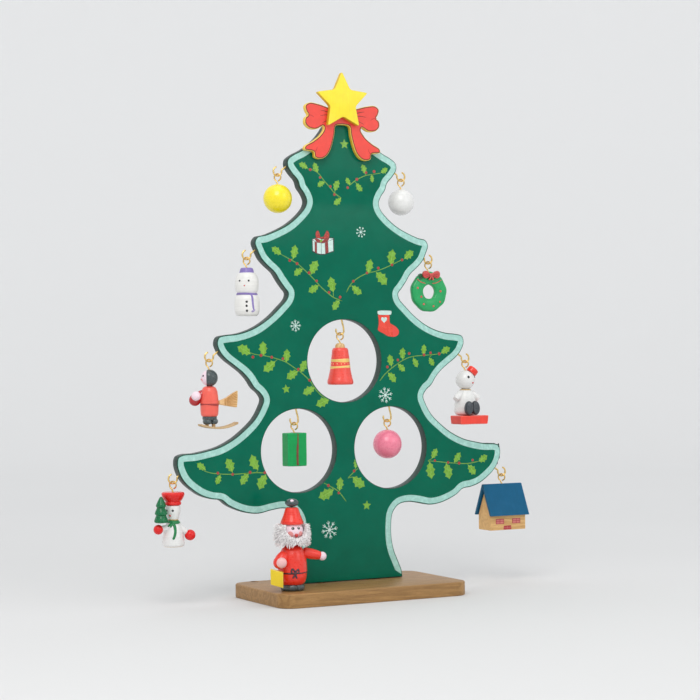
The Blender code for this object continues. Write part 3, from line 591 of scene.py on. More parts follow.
def slab(outline, thick, holes=(), rim=0.4, rings=3, back_rim=None):
    """A flat board in the XZ plane with rounded rims, its front at -thick / 2."""
    back_rim = rim if back_rim is None else back_rim
    loops = [np.array(ccw(outline), float)] + [np.array(ccw(h), float) for h in holes]
    inward = [-outward(loops[0])] + [outward(h) for h in loops[1:]]
    bm = bmesh.new()
    front = fill(bm, [loop + n * rim for loop, n in zip(loops, inward)], -thick / 2)
    back = fill(bm, [loop + n * back_rim for loop, n in zip(loops, inward)], thick / 2)
    for loop, n, first, last in zip(loops, inward, front, back):
        previous = first
        for k in range(1, rings + 1):
            a = math.pi / 2 * k / rings
            pts = loop + n * rim * (1 - math.sin(a))
            y = -thick / 2 + rim * (1 - math.cos(a))
            ring = [bm.verts.new((x, y, z)) for x, z in pts]
            stitch(bm, previous, ring)
            previous = ring
        for k in range(rings, 0, -1):
            a = math.pi / 2 * k / rings
            pts = loop + n * back_rim * (1 - math.sin(a))
            y = thick / 2 - back_rim * (1 - math.cos(a))
            ring = [bm.verts.new((x, y, z)) for x, z in pts]
            stitch(bm, previous, ring)
            previous = ring
        stitch(bm, previous, last)
    return bm


def sheet_of(shapes, y0, y1, bm=None):
    """Thin closed plates from y0 (front) to y1; a shape is an outline or (outline, holes)."""
    bm = bm or bmesh.new()
    for shape in shapes:
        outline, holes = shape if isinstance(shape[1], list) else (shape, [])
        one = bmesh.new()
        loops = [outline, *holes]
        front = fill(one, loops, y0)
        back = fill(one, loops, y1)
        for a, b in zip(front, back):
            stitch(one, a, b)
        bmesh.ops.recalc_face_normals(one, faces=one.faces)
        join(bm, one)
    return bm


def lathe(profile, seg=56, closed=False):
    """A solid turned about Z from (radius, height) points; a closed profile makes a ring."""
    bm = bmesh.new()
    turn = [(math.cos(a), math.sin(a)) for a in np.linspace(0, math.tau, seg, endpoint=False)]
    rings = []
    for r, z in profile:
        if r < 1e-6:
            rings.append([bm.verts.new((0, 0, z))])
        else:
            rings.append([bm.verts.new((r * c, r * s, z)) for c, s in turn])
    pairs = list(zip(rings, rings[1:]))
    if closed:
        pairs.append((rings[-1], rings[0]))
    for a, b in pairs:
        for i in range(seg):
            j = (i + 1) % seg
            if len(a) == 1 and len(b) == 1:
                break
            if len(a) == 1:
                bm.faces.new((a[0], b[j], b[i]))
            elif len(b) == 1:
                bm.faces.new((a[i], a[j], b[0]))
            else:
                bm.faces.new((a[i], a[j], b[j], b[i]))
    return bm


def turned(points, r=0.35, per=3):
    """A turned silhouette: corners eased by r."""
    soft = soften(points, r, 3, closed=False, least=20)
    return [(max(0.0, x), z) for x, z in soft]


def smooth_profile(points, per=4):
    return [(max(0.0, x), z) for x, z in spread(points, per)]


def radius_at(profile, z):
    pts = sorted((q[1], q[0]) for q in profile)
    return float(np.interp(z, [p[0] for p in pts], [p[1] for p in pts]))


def on_turned(profile, azimuth, z):
    """A point on a turned body and its normal; azimuth 0 faces -Y and 90 faces +X."""
    r = radius_at(profile, z)
    slope = (radius_at(profile, z + 0.25) - radius_at(profile, z - 0.25)) / 0.5
    a = math.radians(azimuth)
    out = Vector((math.sin(a), -math.cos(a), 0))
    return out * r + Vector((0, 0, z)), (out + Vector((0, 0, -slope))).normalized()


def aim(azimuth, elevation=0.0):
    a, e = math.radians(azimuth), math.radians(elevation)
    return Vector((math.sin(a) * math.cos(e), -math.cos(a) * math.cos(e), math.sin(e)))


def drop_at(bm, point, normal, r, high=None, stretch=1.0, seg=20):
    """A flattened drop of paint on a surface, closed underneath."""
    high = r * 0.35 if high is None else high
    profile = [(r * math.sin(a), high * math.cos(a)) for a in np.linspace(0, math.pi / 2, 6)]
    profile += [(r * 0.97, -0.12), (r * 0.7, -0.3), (0, -0.3)]
    one = lathe(profile, seg)
    wob = rand.uniform(-0.05, 0.05, 3)
    for v in one.verts:
        a = math.atan2(v.co.y, v.co.x)
        k = 1 + wob[0] * math.cos(a * 2) + wob[1] * math.sin(a * 3) + wob[2] * math.cos(a)
        v.co.x *= k
        v.co.y *= k * stretch
    quat = Vector(normal).to_track_quat("Z", "Y").to_matrix().to_4x4()
    return join(bm, one, Matrix.Translation(Vector(point)) @ quat)


def band(profile, z, width, proud=0.12, wave=(0.0, 2, 0.0), seg=72, depth=0.3, tilt=(0.0, 0.0), widths=(0.0, 3, 0.0)):
    """A painted or turned band round a turned body, with a slightly wavering height."""
    bm = bmesh.new()
    cross = (-1.0, -0.86, -0.5, 0.0, 0.5, 0.86, 1.0)
    rings = []
    for a in np.linspace(0, math.tau, seg, endpoint=False):
        mid = z + wave[0] * math.sin(wave[1] * a + wave[2]) + tilt[0] * math.cos(a - tilt[1])
        w = width * (1 + widths[0] * math.sin(widths[1] * a + widths[2]))
        ring = []
        for u in cross:
            h = mid + u * w / 2
            rise = proud * (1 - abs(u) ** 5)
            r = radius_at(profile, h) + rise - 0.02
            ring.append((r, h))
        ring += [(radius_at(profile, mid + w / 2) - depth, mid + w / 2 - 0.02),
                 (radius_at(profile, mid - w / 2) - depth, mid - w / 2 + 0.02)]
        rings.append([bm.verts.new((r * math.cos(a), r * math.sin(a), h)) for r, h in ring])
    for i in range(seg):
        stitch(bm, rings[i], rings[(i + 1) % seg])
    return bm


def sweep(path, radius, seg=12, round_ends=True):
    """A closed round wire along a path; radius is a number or one for each point."""
    p = [Vector(q) for q in path]
    rad = list(radius) if isinstance(radius, (list, tuple, np.ndarray)) else [radius] * len(p)
    tang = [(p[min(i + 1, len(p) - 1)] - p[max(i - 1, 0)]).normalized() for i in range(len(p))]
    if round_ends:
        def cap(at, way, r):
            return [(at + way * r * math.sin(a), r * math.cos(a)) for a in np.radians((30, 58, 80))]
        head = [(q, r) for q, r in reversed(cap(p[0], -tang[0], rad[0]))]
        tail = cap(p[-1], tang[-1], rad[-1])
        p = [q for q, _ in head] + p + [q for q, _ in tail]
        rad = [r for _, r in head] + rad + [r for _, r in tail]
        tang = [tang[0]] * len(head) + tang + [tang[-1]] * len(tail)
    bm = bmesh.new()
    side = tang[0].orthogonal().normalized()
    rings = []
    for q, t, r in zip(p, tang, rad):
        side = (side - t * side.dot(t)).normalized()
        up = t.cross(side)
        rings.append([bm.verts.new(q + (side * math.cos(a) + up * math.sin(a)) * r)
                      for a in np.linspace(0, math.tau, seg, endpoint=False)])
    for a, b in zip(rings, rings[1:]):
        stitch(bm, a, b)
    bm.faces.new(reversed(rings[0]))
    bm.faces.new(rings[-1])
    return bm


def ball(rx, ry, rz, at=(0, 0, 0), seg=40, rings=26, wobble=0.0, freq=0.35, seed=0):
    """A rounded lump, turned or hand-shaped, with a slightly uneven surface."""
    profile = [(math.sin(a), math.cos(a)) for a in np.linspace(0, math.pi, rings)]
    bm = lathe([(0, 1)] + profile[1:-1] + [(0, -1)], seg)
    local = np.random.RandomState(seed + 5)
    waves = [(local.normal(0, 1, 3) * freq * 4, local.uniform(0, 6.28)) for _ in range(5)]
    for v in bm.verts:
        n = v.co.normalized()
        k = 1 + wobble * sum(math.sin(w[0] * n.x + w[1] * n.y + w[2] * n.z + ph) for w, ph in waves) / 5
        v.co = Vector((n.x * rx, n.y * ry, n.z * rz)) * k + Vector(at)
    return bm


def box_of(w, d, h, at=(0, 0, 0), bevel=0.5, seg=4, cuts=6, uneven=0.0, seed=0):
    """A sawn and sanded block with eased edges and faces that aren't quite flat."""
    bm = bmesh.new()
    bmesh.ops.create_cube(bm, size=1.0)
    bmesh.ops.scale(bm, vec=(w, d, h), verts=bm.verts)
    bmesh.ops.bevel(bm, geom=list(bm.edges), offset=bevel, segments=seg, affect="EDGES", profile=0.6)
    if cuts:
        long = [e for e in bm.edges if e.calc_length() > min(w, d, h) * 0.5]
        bmesh.ops.subdivide_edges(bm, edges=long, cuts=cuts, use_grid_fill=True)
    if uneven:
        local = np.random.RandomState(seed)
        ph = local.uniform(0, 6.28, 6)
        for v in bm.verts:
            x, y, z = v.co
            v.co.x += uneven * math.sin(z * 0.45 + ph[0]) * math.cos(y * 0.4 + ph[1])
            v.co.y += uneven * math.sin(x * 0.5 + ph[2]) * math.cos(z * 0.35 + ph[3])
            v.co.z += uneven * math.sin(x * 0.4 + ph[4]) * math.cos(y * 0.6 + ph[5])
    bmesh.ops.translate(bm, vec=at, verts=bm.verts)
    return bm


def limb(a, b, r1, r2, seg=28, bulge=0.08, ends=0.5):
    """A turned arm or leg from a to b with eased ends."""
    a, b = Vector(a), Vector(b)
    long = (b - a).length
    e1, e2 = min(ends, r1 * 0.6), min(ends, r2 * 0.6)
    profile = [(0, long), (r2 - e2, long)]
    profile += [(r2 - e2 + e2 * math.sin(t), long - e2 + e2 * math.cos(t)) for t in np.linspace(0.3, math.pi / 2, 4)]
    for s in (0.75, 0.5, 0.25):
        profile.append((r1 + (r2 - r1) * s + bulge * math.sin(math.pi * s) * r1, long * s))
    profile += [(r1 - e1 + e1 * math.sin(t), e1 - e1 * math.cos(t)) for t in np.linspace(math.pi / 2, 0.3, 4)]
    profile += [(r1 - e1, 0), (0, 0)]
    bm = lathe(profile, seg)
    quat = (b - a).to_track_quat("Z", "Y").to_matrix().to_4x4()
    bmesh.ops.transform(bm, matrix=Matrix.Translation(a) @ quat, verts=bm.verts)
    return bm


# --- Finishes --------------------------------------------------------------------------------


def board_paint(name, rgb, rough, coat, seed, lines=(0.02, 0.02, 0.9), wave=0.25, level=0.5):
    """Thick lacquer over a sanded board: even colour, slow waves in the gloss, dust and hairlines."""
    look = Look(name)
    here = look.where(shift=(seed, 0, seed))
    slow = look.noise(here, 0.018, 2, 0.5)
    cloud = look.noise(here, 0.09, 3, 0.6)
    hair = look.noise(look.where(lines, turn=(0, 24, 0), shift=(seed, seed, 0)), 1.4, 3, 0.7)
    dust = look.noise(here, 1.6, 2, 0.55)
    colour = look.ramp(cloud, [(0.3, shade(rgb, 0.9)), (0.55, rgb), (0.75, shade(rgb, 1.08))])
    colour = look.mix(look.ramp(slow, [(0.35, 0.0), (0.7, 0.2)]), colour, shade(rgb, 1.3, 0.003))
    colour = look.mix(look.ramp(hair, [(0.7, 0.0), (0.8, 0.12)]), colour, shade(rgb, 1.6, 0.01))
    colour = look.mix(look.ramp(dust, [(0.74, 0.0), (0.84, 0.35)]), colour, shade(rgb, 1.8, 0.02))
    colour = look.mix(look.sum("MULTIPLY", look.edge(), 0.35), colour, shade(rgb, 0.62))
    height = look.sum("ADD", look.sum("MULTIPLY", slow, 8.0), look.sum("ADD", look.sum("MULTIPLY", cloud, 1.4), look.sum("MULTIPLY", dust, 0.12)))
    look.relief(height, wave, 0.05)
    gloss = look.ramp(look.noise(here, 0.06, 4, 0.65), [(0.3, rough - 0.03), (0.7, rough + 0.07)])
    return look.finish(colour, gloss, coat=coat, coat_rough=0.07, level=level)


def side_paint(name, rgb, seed):
    """Dark paint on a sawn edge: the saw's fine upright lines and rubbed corners show through."""
    look = Look(name)
    here = look.where(shift=(seed, seed, 0))
    saw = look.noise(look.where((1.6, 0.06, 1.6), shift=(seed, 0, 0)), 0.9, 3, 0.7)
    cloud = look.noise(here, 0.35, 3, 0.6)
    rub = look.noise(here, 0.7, 4, 0.7)
    colour = look.ramp(cloud, [(0.3, shade(rgb, 0.75)), (0.6, rgb), (0.8, shade(rgb, 1.35))])
    colour = look.mix(look.ramp(saw, [(0.6, 0.0), (0.75, 0.4)]), colour, shade(rgb, 2.0, 0.01))
    worn = look.sum("MULTIPLY", look.edge(), look.ramp(rub, [(0.52, 0.0), (0.66, 1.0)]))
    colour = look.mix(look.sum("MULTIPLY", worn, 0.6), colour, shade(rgb, 3.0, 0.05))
    look.relief(look.sum("ADD", saw, cloud), 0.5, 0.08)
    return look.finish(colour, look.ramp(saw, [(0.3, 0.38), (0.7, 0.55)]), coat=0.15, coat_rough=0.3)


def ink(name, rgb, rough=0.3, vary=0.06, patch=0.5, seed=0.0, coat=0.6, light=None):
    """Screen-printed ink under lacquer: slightly uneven cover with fine pinholes."""
    look = Look(name)
    here = look.where(shift=(seed, seed, seed))
    cloud = look.noise(here, patch, 3, 0.65)
    pin = look.noise(here, 3.2, 2, 0.6)
    colour = look.ramp(cloud, [(0.32, shade(rgb, 1 - vary)), (0.55, rgb), (0.74, light or shade(rgb, 1 + vary, 0.005))])
    colour = look.mix(look.ramp(pin, [(0.68, 0.0), (0.78, 0.2)]), colour, shade(rgb, 0.7))
    look.relief(look.sum("ADD", pin, cloud), 0.15, 0.02)
    gloss = look.ramp(cloud, [(0.3, rough - 0.05), (0.7, rough + 0.06)])
    return look.finish(colour, gloss, coat=coat, coat_rough=0.08)


def fur(name, rgb):
    look = Look(name)
    here = look.where()
    tone = look.tone()
    # Low tone is darker: each strand's tone differs at random, its root is darker as painted shade, and the core under
    # the strands, which carries no tone, takes the darkest end.
    colour = look.ramp(tone, [(0.0, shade(rgb, 0.7)), (0.45, rgb), (1.0, shade(rgb, 1.12))])
    colour = look.mix(look.ramp(look.noise(here, 0.6, 2, 0.5), [(0.35, 0.18), (0.6, 0.0)]), colour, shade(rgb, 0.72))
    look.relief(look.noise(here, 6.0, 1, 0.5), 0.2, 0.03)
    return look.finish(colour, look.ramp(tone, [(0.0, 0.75), (1.0, 0.9)]), sheen=0.25, level=0.3)


GREEN = srgb(0, 103, 79)
M = {
    "board_face": board_paint("board_face", GREEN, 0.17, 0.0, 0.0, level=0.14),
    "board_back": board_paint("board_back", srgb(2, 74, 52), 0.42, 0.1, 31.0, wave=0.5),
    "board_edge": side_paint("board_edge", srgb(12, 52, 42), 3.0),
    "mint": ink("ink_mint", srgb(164, 215, 204), 0.26, 0.07, 0.35, 1.0, light=srgb(184, 229, 219)),
    "leaf": ink("ink_leaf", srgb(116, 176, 38), 0.28, 0.12, 0.5, 2.0),
    "leaf_vein": ink("ink_leaf_vein", srgb(150, 198, 66), 0.28, 0.06, 0.5, 3.0),
    "stem": ink("ink_stem", srgb(112, 166, 48), 0.28, 0.1, 0.5, 4.0),
    "berry": ink("ink_berry", srgb(168, 50, 40), 0.26, 0.12, 0.9, 5.0),
    "snow": ink("ink_snow", srgb(206, 232, 224), 0.26, 0.05, 0.6, 6.0),
    "ink_red": ink("ink_red", srgb(236, 62, 36), 0.26, 0.08, 0.3, 7.0),
    "ink_brick": ink("ink_brick", srgb(184, 56, 42), 0.26, 0.1, 0.5, 7.5),
    "ink_dark_red": ink("ink_dark_red", srgb(146, 44, 40), 0.26, 0.1, 0.6, 8.0),
    "ink_line": ink("ink_line", srgb(28, 46, 42), 0.28, 0.2, 0.7, 9.0),
    "ink_chip": ink("ink_chip", srgb(14, 62, 50), 0.5, 0.2, 0.9, 9.5, coat=0.0),
    "bow": ink("bow_red_face", srgb(240, 72, 60), 0.42, 0.07, 0.2, 10.0, coat=0.1),
    "bow_line": ink("bow_line", srgb(104, 36, 28), 0.5, 0.2, 0.5, 11.0, coat=0.0),
    "bow_fold": ink("bow_fold", srgb(198, 48, 42), 0.45, 0.1, 0.5, 12.0, coat=0.05),
    "bow_gold": paint("bow_gold_edge", srgb(248, 206, 66), 0.4, 0.2, 0.12, "Y", srgb(255, 236, 170), 0.4, 13.0),
    "bow_back": paint("bow_back", srgb(214, 66, 54), 0.5, 0.05, 0.1, "X", None, 0.3, 14.0),
    "star": paint("star_yellow_face", srgb(255, 232, 44), 0.4, 0.12, 0.06, "X", srgb(255, 244, 150), 0.25, 15.0, 0.5),
    # The star's edges take a darker copy of its yellow: painted shade.
    "star_edge_painted_shade": paint("star_edge_painted_shade", srgb(226, 186, 30), 0.45, 0.05, 0.12, "Y", srgb(250, 226, 110), 0.5, 16.0),
    "stand": wood("stand_brown", srgb(178, 136, 82), srgb(128, 92, 50), "X", 0.48, 0.12, 0.35, 0.5, 2.0, 0.3),
    "dowel": wood("dowel_wood", srgb(226, 190, 142), srgb(176, 128, 80), "Z", 0.6, 0.0, 0.4, 0.5, 5.0),
    "pale": wood("raw_wood_pale", srgb(240, 206, 150), srgb(196, 148, 88), "Z", 0.55, 0.05, 0.4, 0.4, 7.0),
    "runner": wood("raw_wood_runner", srgb(214, 184, 140), srgb(158, 122, 82), "X", 0.6, 0.0, 0.5, 0.7, 9.0),
    "straw": wood("raw_wood_broom", srgb(248, 210, 154), srgb(214, 168, 110), "X", 0.6, 0.0, 0.5, 0.7, 12.0),
    "wall": wood("raw_wood_wall", srgb(233, 190, 126), srgb(200, 148, 88), "X", 0.55, 0.05, 0.4, 0.6, 15.0),
    "brass": brass("brass_wire", srgb(240, 204, 128)),
    "brass_eye": brass("brass_eye", srgb(234, 196, 120), 4.0),
    "yellow": paint("paint_yellow", srgb(255, 234, 26), 0.26, 0.5, 0.06, "Z", None, 0.3, 20.0, 0.6),
    "white": paint("paint_white", srgb(238, 237, 233), 0.34, 0.25, 0.03, "Z", srgb(246, 245, 240), 0.2, 21.0),
    "pearl": paint("paint_white_gloss", srgb(236, 236, 234), 0.26, 0.5, 0.03, "Z", None, 0.2, 22.0),
    "pink": paint("paint_pink", srgb(248, 132, 158), 0.26, 0.5, 0.06, "Z", None, 0.3, 23.0, 0.6),
    "bell": paint("paint_red_bell", srgb(246, 76, 62), 0.3, 0.4, 0.08, "Z", srgb(246, 128, 112), 0.4, 24.0),
    "gold": paint("paint_gold", srgb(248, 204, 112), 0.3, 0.3, 0.12, "Z", srgb(255, 240, 190), 0.4, 25.0),
    "gift": paint("paint_green_gift", srgb(0, 158, 80), 0.44, 0.05, 0.08, "Z", srgb(40, 190, 120), 0.6, 26.0, 1.0, 0.3),
    "ribbon": paint("paint_ribbon", srgb(120, 52, 34), 0.4, 0.1, 0.2, "Z", None, 0.2, 27.0),
    "purple": paint("paint_purple", srgb(134, 116, 184), 0.42, 0.15, 0.12, "Z", srgb(168, 152, 210), 0.5, 28.0),
    "black": paint("paint_black", srgb(26, 26, 28), 0.24, 0.5, 0.2, "Z", None, 0.1, 29.0),
    "nose": paint("paint_nose", srgb(204, 44, 44), 0.26, 0.5, 0.1, "Z", None, 0.2, 30.0),
    # A lighter red for the skier's coat than the other reds: partly the coat's own colour, partly painted highlight.
    "coat": paint("paint_red_coat_part_highlight", srgb(248, 100, 84), 0.34, 0.35, 0.07, "Z", srgb(252, 140, 120), 0.35, 54.0),
    "red": paint("paint_red", srgb(244, 50, 30), 0.3, 0.35, 0.07, "Z", srgb(250, 124, 100), 0.35, 32.0),
    "red_bright": paint("paint_red_bright", srgb(232, 28, 26), 0.26, 0.25, 0.07, "Z", srgb(250, 110, 90), 0.3, 53.0, 1.0, 0.35),
    # A darker red for the skier's far sleeve: painted shade on the coat's red.
    "red_sleeve_painted_shade": paint("paint_red_sleeve_painted_shade", srgb(184, 28, 34), 0.26, 0.5, 0.1, "Z", srgb(236, 90, 80), 0.4, 33.0),
    "belt": paint("paint_belt", srgb(70, 32, 46), 0.36, 0.3, 0.2, "Z", None, 0.2, 34.0),
    "slate": paint("paint_slate", srgb(64, 76, 78), 0.28, 0.5, 0.16, "Z", srgb(110, 124, 122), 0.5, 35.0),
    "skin": paint("paint_skin", srgb(250, 226, 236), 0.42, 0.1, 0.06, "Z", None, 0.2, 36.0),
    "blush": paint("paint_blush", srgb(244, 160, 158), 0.45, 0.05, 0.1, "Z", None, 0.1, 37.0),
    "hand": paint("paint_hand", srgb(246, 192, 190), 0.42, 0.1, 0.08, "Z", None, 0.1, 37.5),
    "bag": paint("paint_bag", srgb(236, 204, 22), 0.36, 0.2, 0.08, "Z", srgb(250, 232, 120), 0.6, 38.0),
    "fir": paint("paint_fir", srgb(0, 110, 62), 0.24, 0.3, 0.12, "Z", srgb(30, 150, 96), 0.4, 39.0, 1.0, 0.3),
    "scarf": paint("paint_scarf", srgb(0, 124, 66), 0.36, 0.2, 0.12, "Z", srgb(50, 160, 96), 0.5, 40.0),
    "collar": paint("paint_collar", srgb(204, 170, 116), 0.5, 0.0, 0.12, "Z", None, 0.2, 41.0),
    "wreath": paint("paint_wreath", srgb(4, 166, 90), 0.32, 0.3, 0.1, "X", srgb(80, 205, 140), 0.5, 42.0, 1.3),
    "wreath_red": paint("paint_wreath_red", srgb(206, 66, 62), 0.34, 0.25, 0.14, "X", srgb(236, 120, 110), 0.5, 43.0),
    "roof": paint("paint_roof", srgb(14, 92, 130), 0.46, 0.0, 0.06, "X", srgb(52, 118, 150), 0.6, 44.0, 1.0, 0.2),
    "window": paint("paint_window", srgb(176, 50, 52), 0.42, 0.1, 0.12, "X", None, 0.2, 45.0),
    "pane": paint("paint_pane", srgb(214, 122, 116), 0.4, 0.1, 0.12, "X", None, 0.1, 46.0),
    "boot": paint("paint_boot", srgb(60, 66, 72), 0.3, 0.4, 0.14, "Z", srgb(104, 112, 118), 0.5, 47.0),
    "sled": paint("paint_sled", srgb(246, 64, 46), 0.36, 0.2, 0.08, "X", srgb(250, 136, 116), 0.6, 48.0),
    "fur": fur("fleece_white", srgb(250, 246, 246)),
}

# --- Tree board ------------------------------------------------------------------------------

half = spread(TRUNK + TIER_4 + TIER_3 + TIER_2 + TIER_1, 12) + [(2, 276.3)]
outline = ccw(mirrored([*half, TOP]))
outline = soften(outline, 1.2, 5, least=40)
outline = thin(outline + [outline[0]], 0.012)[:-1]
board_bm = slab(outline, BOARD_T, [circle(x, z, HOLE_R, 128) for x, z in HOLES], 0.55, 4, 0.5)
board_obj = make("tree_board_visual", board_bm, [M["board_face"], M["board_edge"], M["board_back"]], "tree",
                 slot="tree_green", stands_for=("tree_board",), sharp=50)
for poly in board_obj.data.polygons:
    y = poly.normal.y
    poly.material_index = 0 if y < -0.9 else 2 if y > 0.9 else 1

FACE = -BOARD_T / 2  # the printed face


def printed(name, shapes, ink_name, lift, slot="tree_green"):
    """Flat printed shapes that stand lift millimetres above the board's face."""
    bm = sheet_of(shapes, FACE - lift, FACE + 0.03)
    return make(name, bm, M[ink_name], "tree", slot=slot, weld=0)


def border():
    """The pale band that follows the outline from one corner of the trunk up and round to the other."""
    whole = resampled(ccw(outline), 0.35)
    start = int(np.argmin(np.linalg.norm(whole - np.array((37.0, 1.6)), axis=1)))
    whole = np.roll(whole, -start, 0)
    stop = int(np.argmin(np.linalg.norm(whole - np.array((-37.0, 1.6)), axis=1)))
    n = outward(whole)
    s = np.arange(len(whole)) * 0.35
    waver = 0.09 * np.sin(s / 7.3) + 0.06 * np.sin(s / 2.9 + 1.0)
    outer = whole - n * (0.62 + 0.05 * np.sin(s / 5.1))[:, None]
    deep = 4.05 + waver
    inner = whole - n * deep[:, None]
    near = np.array([np.linalg.norm(whole - q, axis=1).min() for q in inner])
    keep = near > deep - 0.05
    outer, inner, keep = outer[: stop + 1], inner[: stop + 1], keep[: stop + 1]
    inner = inner[keep]
    out_near = np.array([np.linalg.norm(whole - q, axis=1).min() for q in outer])
    outer = outer[out_near > 0.5]
    line = [tuple(q) for q in outer] + [tuple(q) for q in inner[::-1]]
    return soften(thin(line + [line[0]], 0.01)[:-1], 0.6, 3, least=50)


printed("print_border", [border()], "mint", 0.05)


def leaf(base, tip, width=0.65):
    """A holly leaf's outline between its base and tip, with three pairs of points, and its midrib."""
    b, t = np.array(base, float), np.array(tip, float)
    along = t - b
    long = float(np.linalg.norm(along))
    u = along / long
    v = np.array([-u[1], u[0]])
    points = [(0.0, 0.05), (0.10, 0.10), (0.20, 0.70), (0.33, 0.28), (0.47, 1.05), (0.61, 0.36), (0.75, 0.84), (0.86, 0.20), (1.0, 0.0)]
    side = []
    for i in range(0, len(points) - 2, 2):
        a, c, e = (np.array(p) for p in points[i : i + 3])
        side += [(1 - k) ** 2 * a + 2 * k * (1 - k) * c + k * k * e for k in (0, 0.25, 0.5, 0.75)]
    side.append(np.array(points[-1]))
    lean = rand.uniform(-0.06, 0.06)
    w1, w2 = rand.uniform(0.93, 1.07, 2)

    def place(p, sign, k):
        x = p[0] * long
        return tuple(b + u * x + v * (sign * p[1] * k * width * long / 2 + lean * long * math.sin(math.pi * p[0])))

    edge = [place(p, 1, w1) for p in side] + [place(p, -1, w2) for p in side[-2::-1]]
    rib = [tuple(b + u * long * s + v * lean * long * math.sin(math.pi * s)) for s in (0.02, 0.3, 0.58, 0.86)]
    return edge, rib


def clear_of_holes(p, r):
    return all(math.hypot(p[0] - x, p[1] - z) > HOLE_R + r for x, z in HOLES)


def clipped(shape, margin=0.75):
    """Pulls the points of an outline that reach into a hole back to its rim."""
    out = []
    for x, z in shape:
        for cx, cz in HOLES:
            d = math.hypot(x - cx, z - cz)
            if d < HOLE_R + margin:
                k = (HOLE_R + margin) / max(d, 1e-6)
                x, z = cx + (x - cx) * k, cz + (z - cz) * k
        if not out or math.hypot(x - out[-1][0], z - out[-1][1]) > 0.02:
            out.append((x, z))
    return out


stems, leaves, ribs, berries, glints = [], [], [], [], []
for line, blades, fruit in SPRIGS:
    stems.append(stroke(clipped(spread(line, 5), 1.05), 0.52, (0.7, 1.0), 1))
    for base, tip in blades:
        reach = min(line, key=lambda q: math.hypot(q[0] - base[0], q[1] - base[1]))
        if 0.8 < math.hypot(reach[0] - base[0], reach[1] - base[1]) < 4:
            stems.append(clipped(stroke([base, reach], 0.42, (1.0, 0.8))))
        edge, rib = leaf(base, tip)
        leaves.append(clipped(edge))
        ribs.append(clipped(stroke(rib, 0.3, (1.0, 0.3))))
    for x, z in fruit:
        r = 0.85 * rand.uniform(0.9, 1.08)
        if clear_of_holes((x, z), r):
            berries.append(circle(x, z, r, 18))
            glints.append(circle(x - r * 0.3, z + r * 0.32, r * 0.22, 8))
leaves = [s for s in leaves if abs(area_of(s)) > 1.0]
stems = [s for s in stems if abs(area_of(s)) > 0.2]
ribs = [s for s in ribs if abs(area_of(s)) > 0.1]
printed("print_stems", stems, "stem", 0.035)
printed("print_leaves", leaves, "leaf", 0.045)
printed("print_leaf_ribs", ribs, "leaf_vein", 0.055)
printed("print_berries", berries, "berry", 0.06)


def flake(cx, cz, r, turn=10.0, wide=0.42, arms=8):
    """A printed snowflake: straight arms that end in three short prongs round a round middle."""
    shapes = [circle(cx, cz, r * 0.17, 16)]
    for k in range(arms):
        a = math.radians(turn + 360 / arms * k)
        c, s = math.cos(a), math.sin(a)

        def at(d, side=0.0):
            return (cx + c * d - s * side, cz + s * d + c * side)

        shapes.append(stroke([at(-r * 0.05), at(r * 0.97)], wide, (1.0, 0.8)))
        for side in (-1, 1):
            shapes.append(stroke([at(r * 0.56), at(r * 0.84, side * r * 0.19)], wide * 0.95, (1.1, 0.8)))
            shapes.append(stroke([at(r * 0.3), at(r * 0.44, side * r * 0.09)], wide * 0.7, (1.0, 0.8)))
    return shapes


def dotted(cx, cz, r):
    shapes = [circle(cx, cz, r * 0.2, 14)]
    for k in range(8):
        a = math.radians(14 + 45 * k)
        shapes.append(circle(cx + r * 0.8 * math.cos(a), cz + r * 0.8 * math.sin(a), r * 0.15, 12))
        shapes.append(stroke([(cx + r * d * math.cos(a), cz + r * d * math.sin(a)) for d in (0.2, 0.62)], r * 0.09, (1, 0.7)))
    return shapes


def plain_star(cx, cz, r, turn=0.0, inner=0.45):
    pts = []
    for i in range(10):
        a = math.radians(90 + turn + 36 * i)
        k = r * (inner if i % 2 else 1.0)
        pts.append((cx + k * math.cos(a), cz + k * math.sin(a)))
    return soften(pts, r * 0.12, 3)


snow = flake(26.7, 107.0, 5.0) + flake(-11.1, 30.0, 5.6) + flake(-31.6, 147.8, 3.7, 4.0, 0.34) + dotted(11.5, 202.2, 3.3)
snow_bm = sheet_of(snow[:1], FACE - 0.045, FACE + 0.03)
for k, shape in enumerate(snow[1:], 1):
    join(snow_bm, sheet_of([shape], FACE - 0.045 - 0.001 * (k % 37), FACE + 0.03))
make("print_snowflakes", snow_bm, M["snow"], "tree", slot="tree_green", weld=0)
printed("print_small_stars", [plain_star(-38.0, 111.7, 2.8, 6), plain_star(13.5, 43.0, 3.0, -4), plain_star(1.2, 253.0, 3.1, 2)],
        "leaf", 0.045)


def px(points, scale=48.0, x0=-22.83, z0=205.0):
    """Points of the drawn gift, in its own sketch units."""
    return [(x0 + x / scale, z0 - z / scale) for x, z in points]


GIFT_LEFT = ((132, 388), (278, 452), (398, 462), (398, 765), (280, 745), (140, 678))
GIFT_FRONT = ((398, 462), (480, 462), (640, 405), (765, 352), (772, 672), (640, 712), (500, 760), (398, 765))
GIFT_LID = ((124, 372), (230, 330), (420, 312), (610, 318), (782, 328), (640, 395), (480, 456), (398, 456), (270, 440))
outer_gift = ((118, 364), (240, 318), (430, 300), (620, 308), (796, 318), (784, 684), (640, 726), (500, 774), (398, 780), (270, 760), (126, 690))
outer_gift = tuple((450 + (x - 450) * 1.03, 540 + (z - 540) * 1.045) for x, z in outer_gift)
printed("print_gift_outline", [soften(px(outer_gift), 0.2, 3)], "ink_line", 0.035)
printed("print_gift_paper", [soften(px(p), 0.12, 2) for p in (GIFT_LEFT, ((404, 470),) + GIFT_FRONT[1:-1] + ((404, 760),), GIFT_LID)],
        "snow", 0.045)
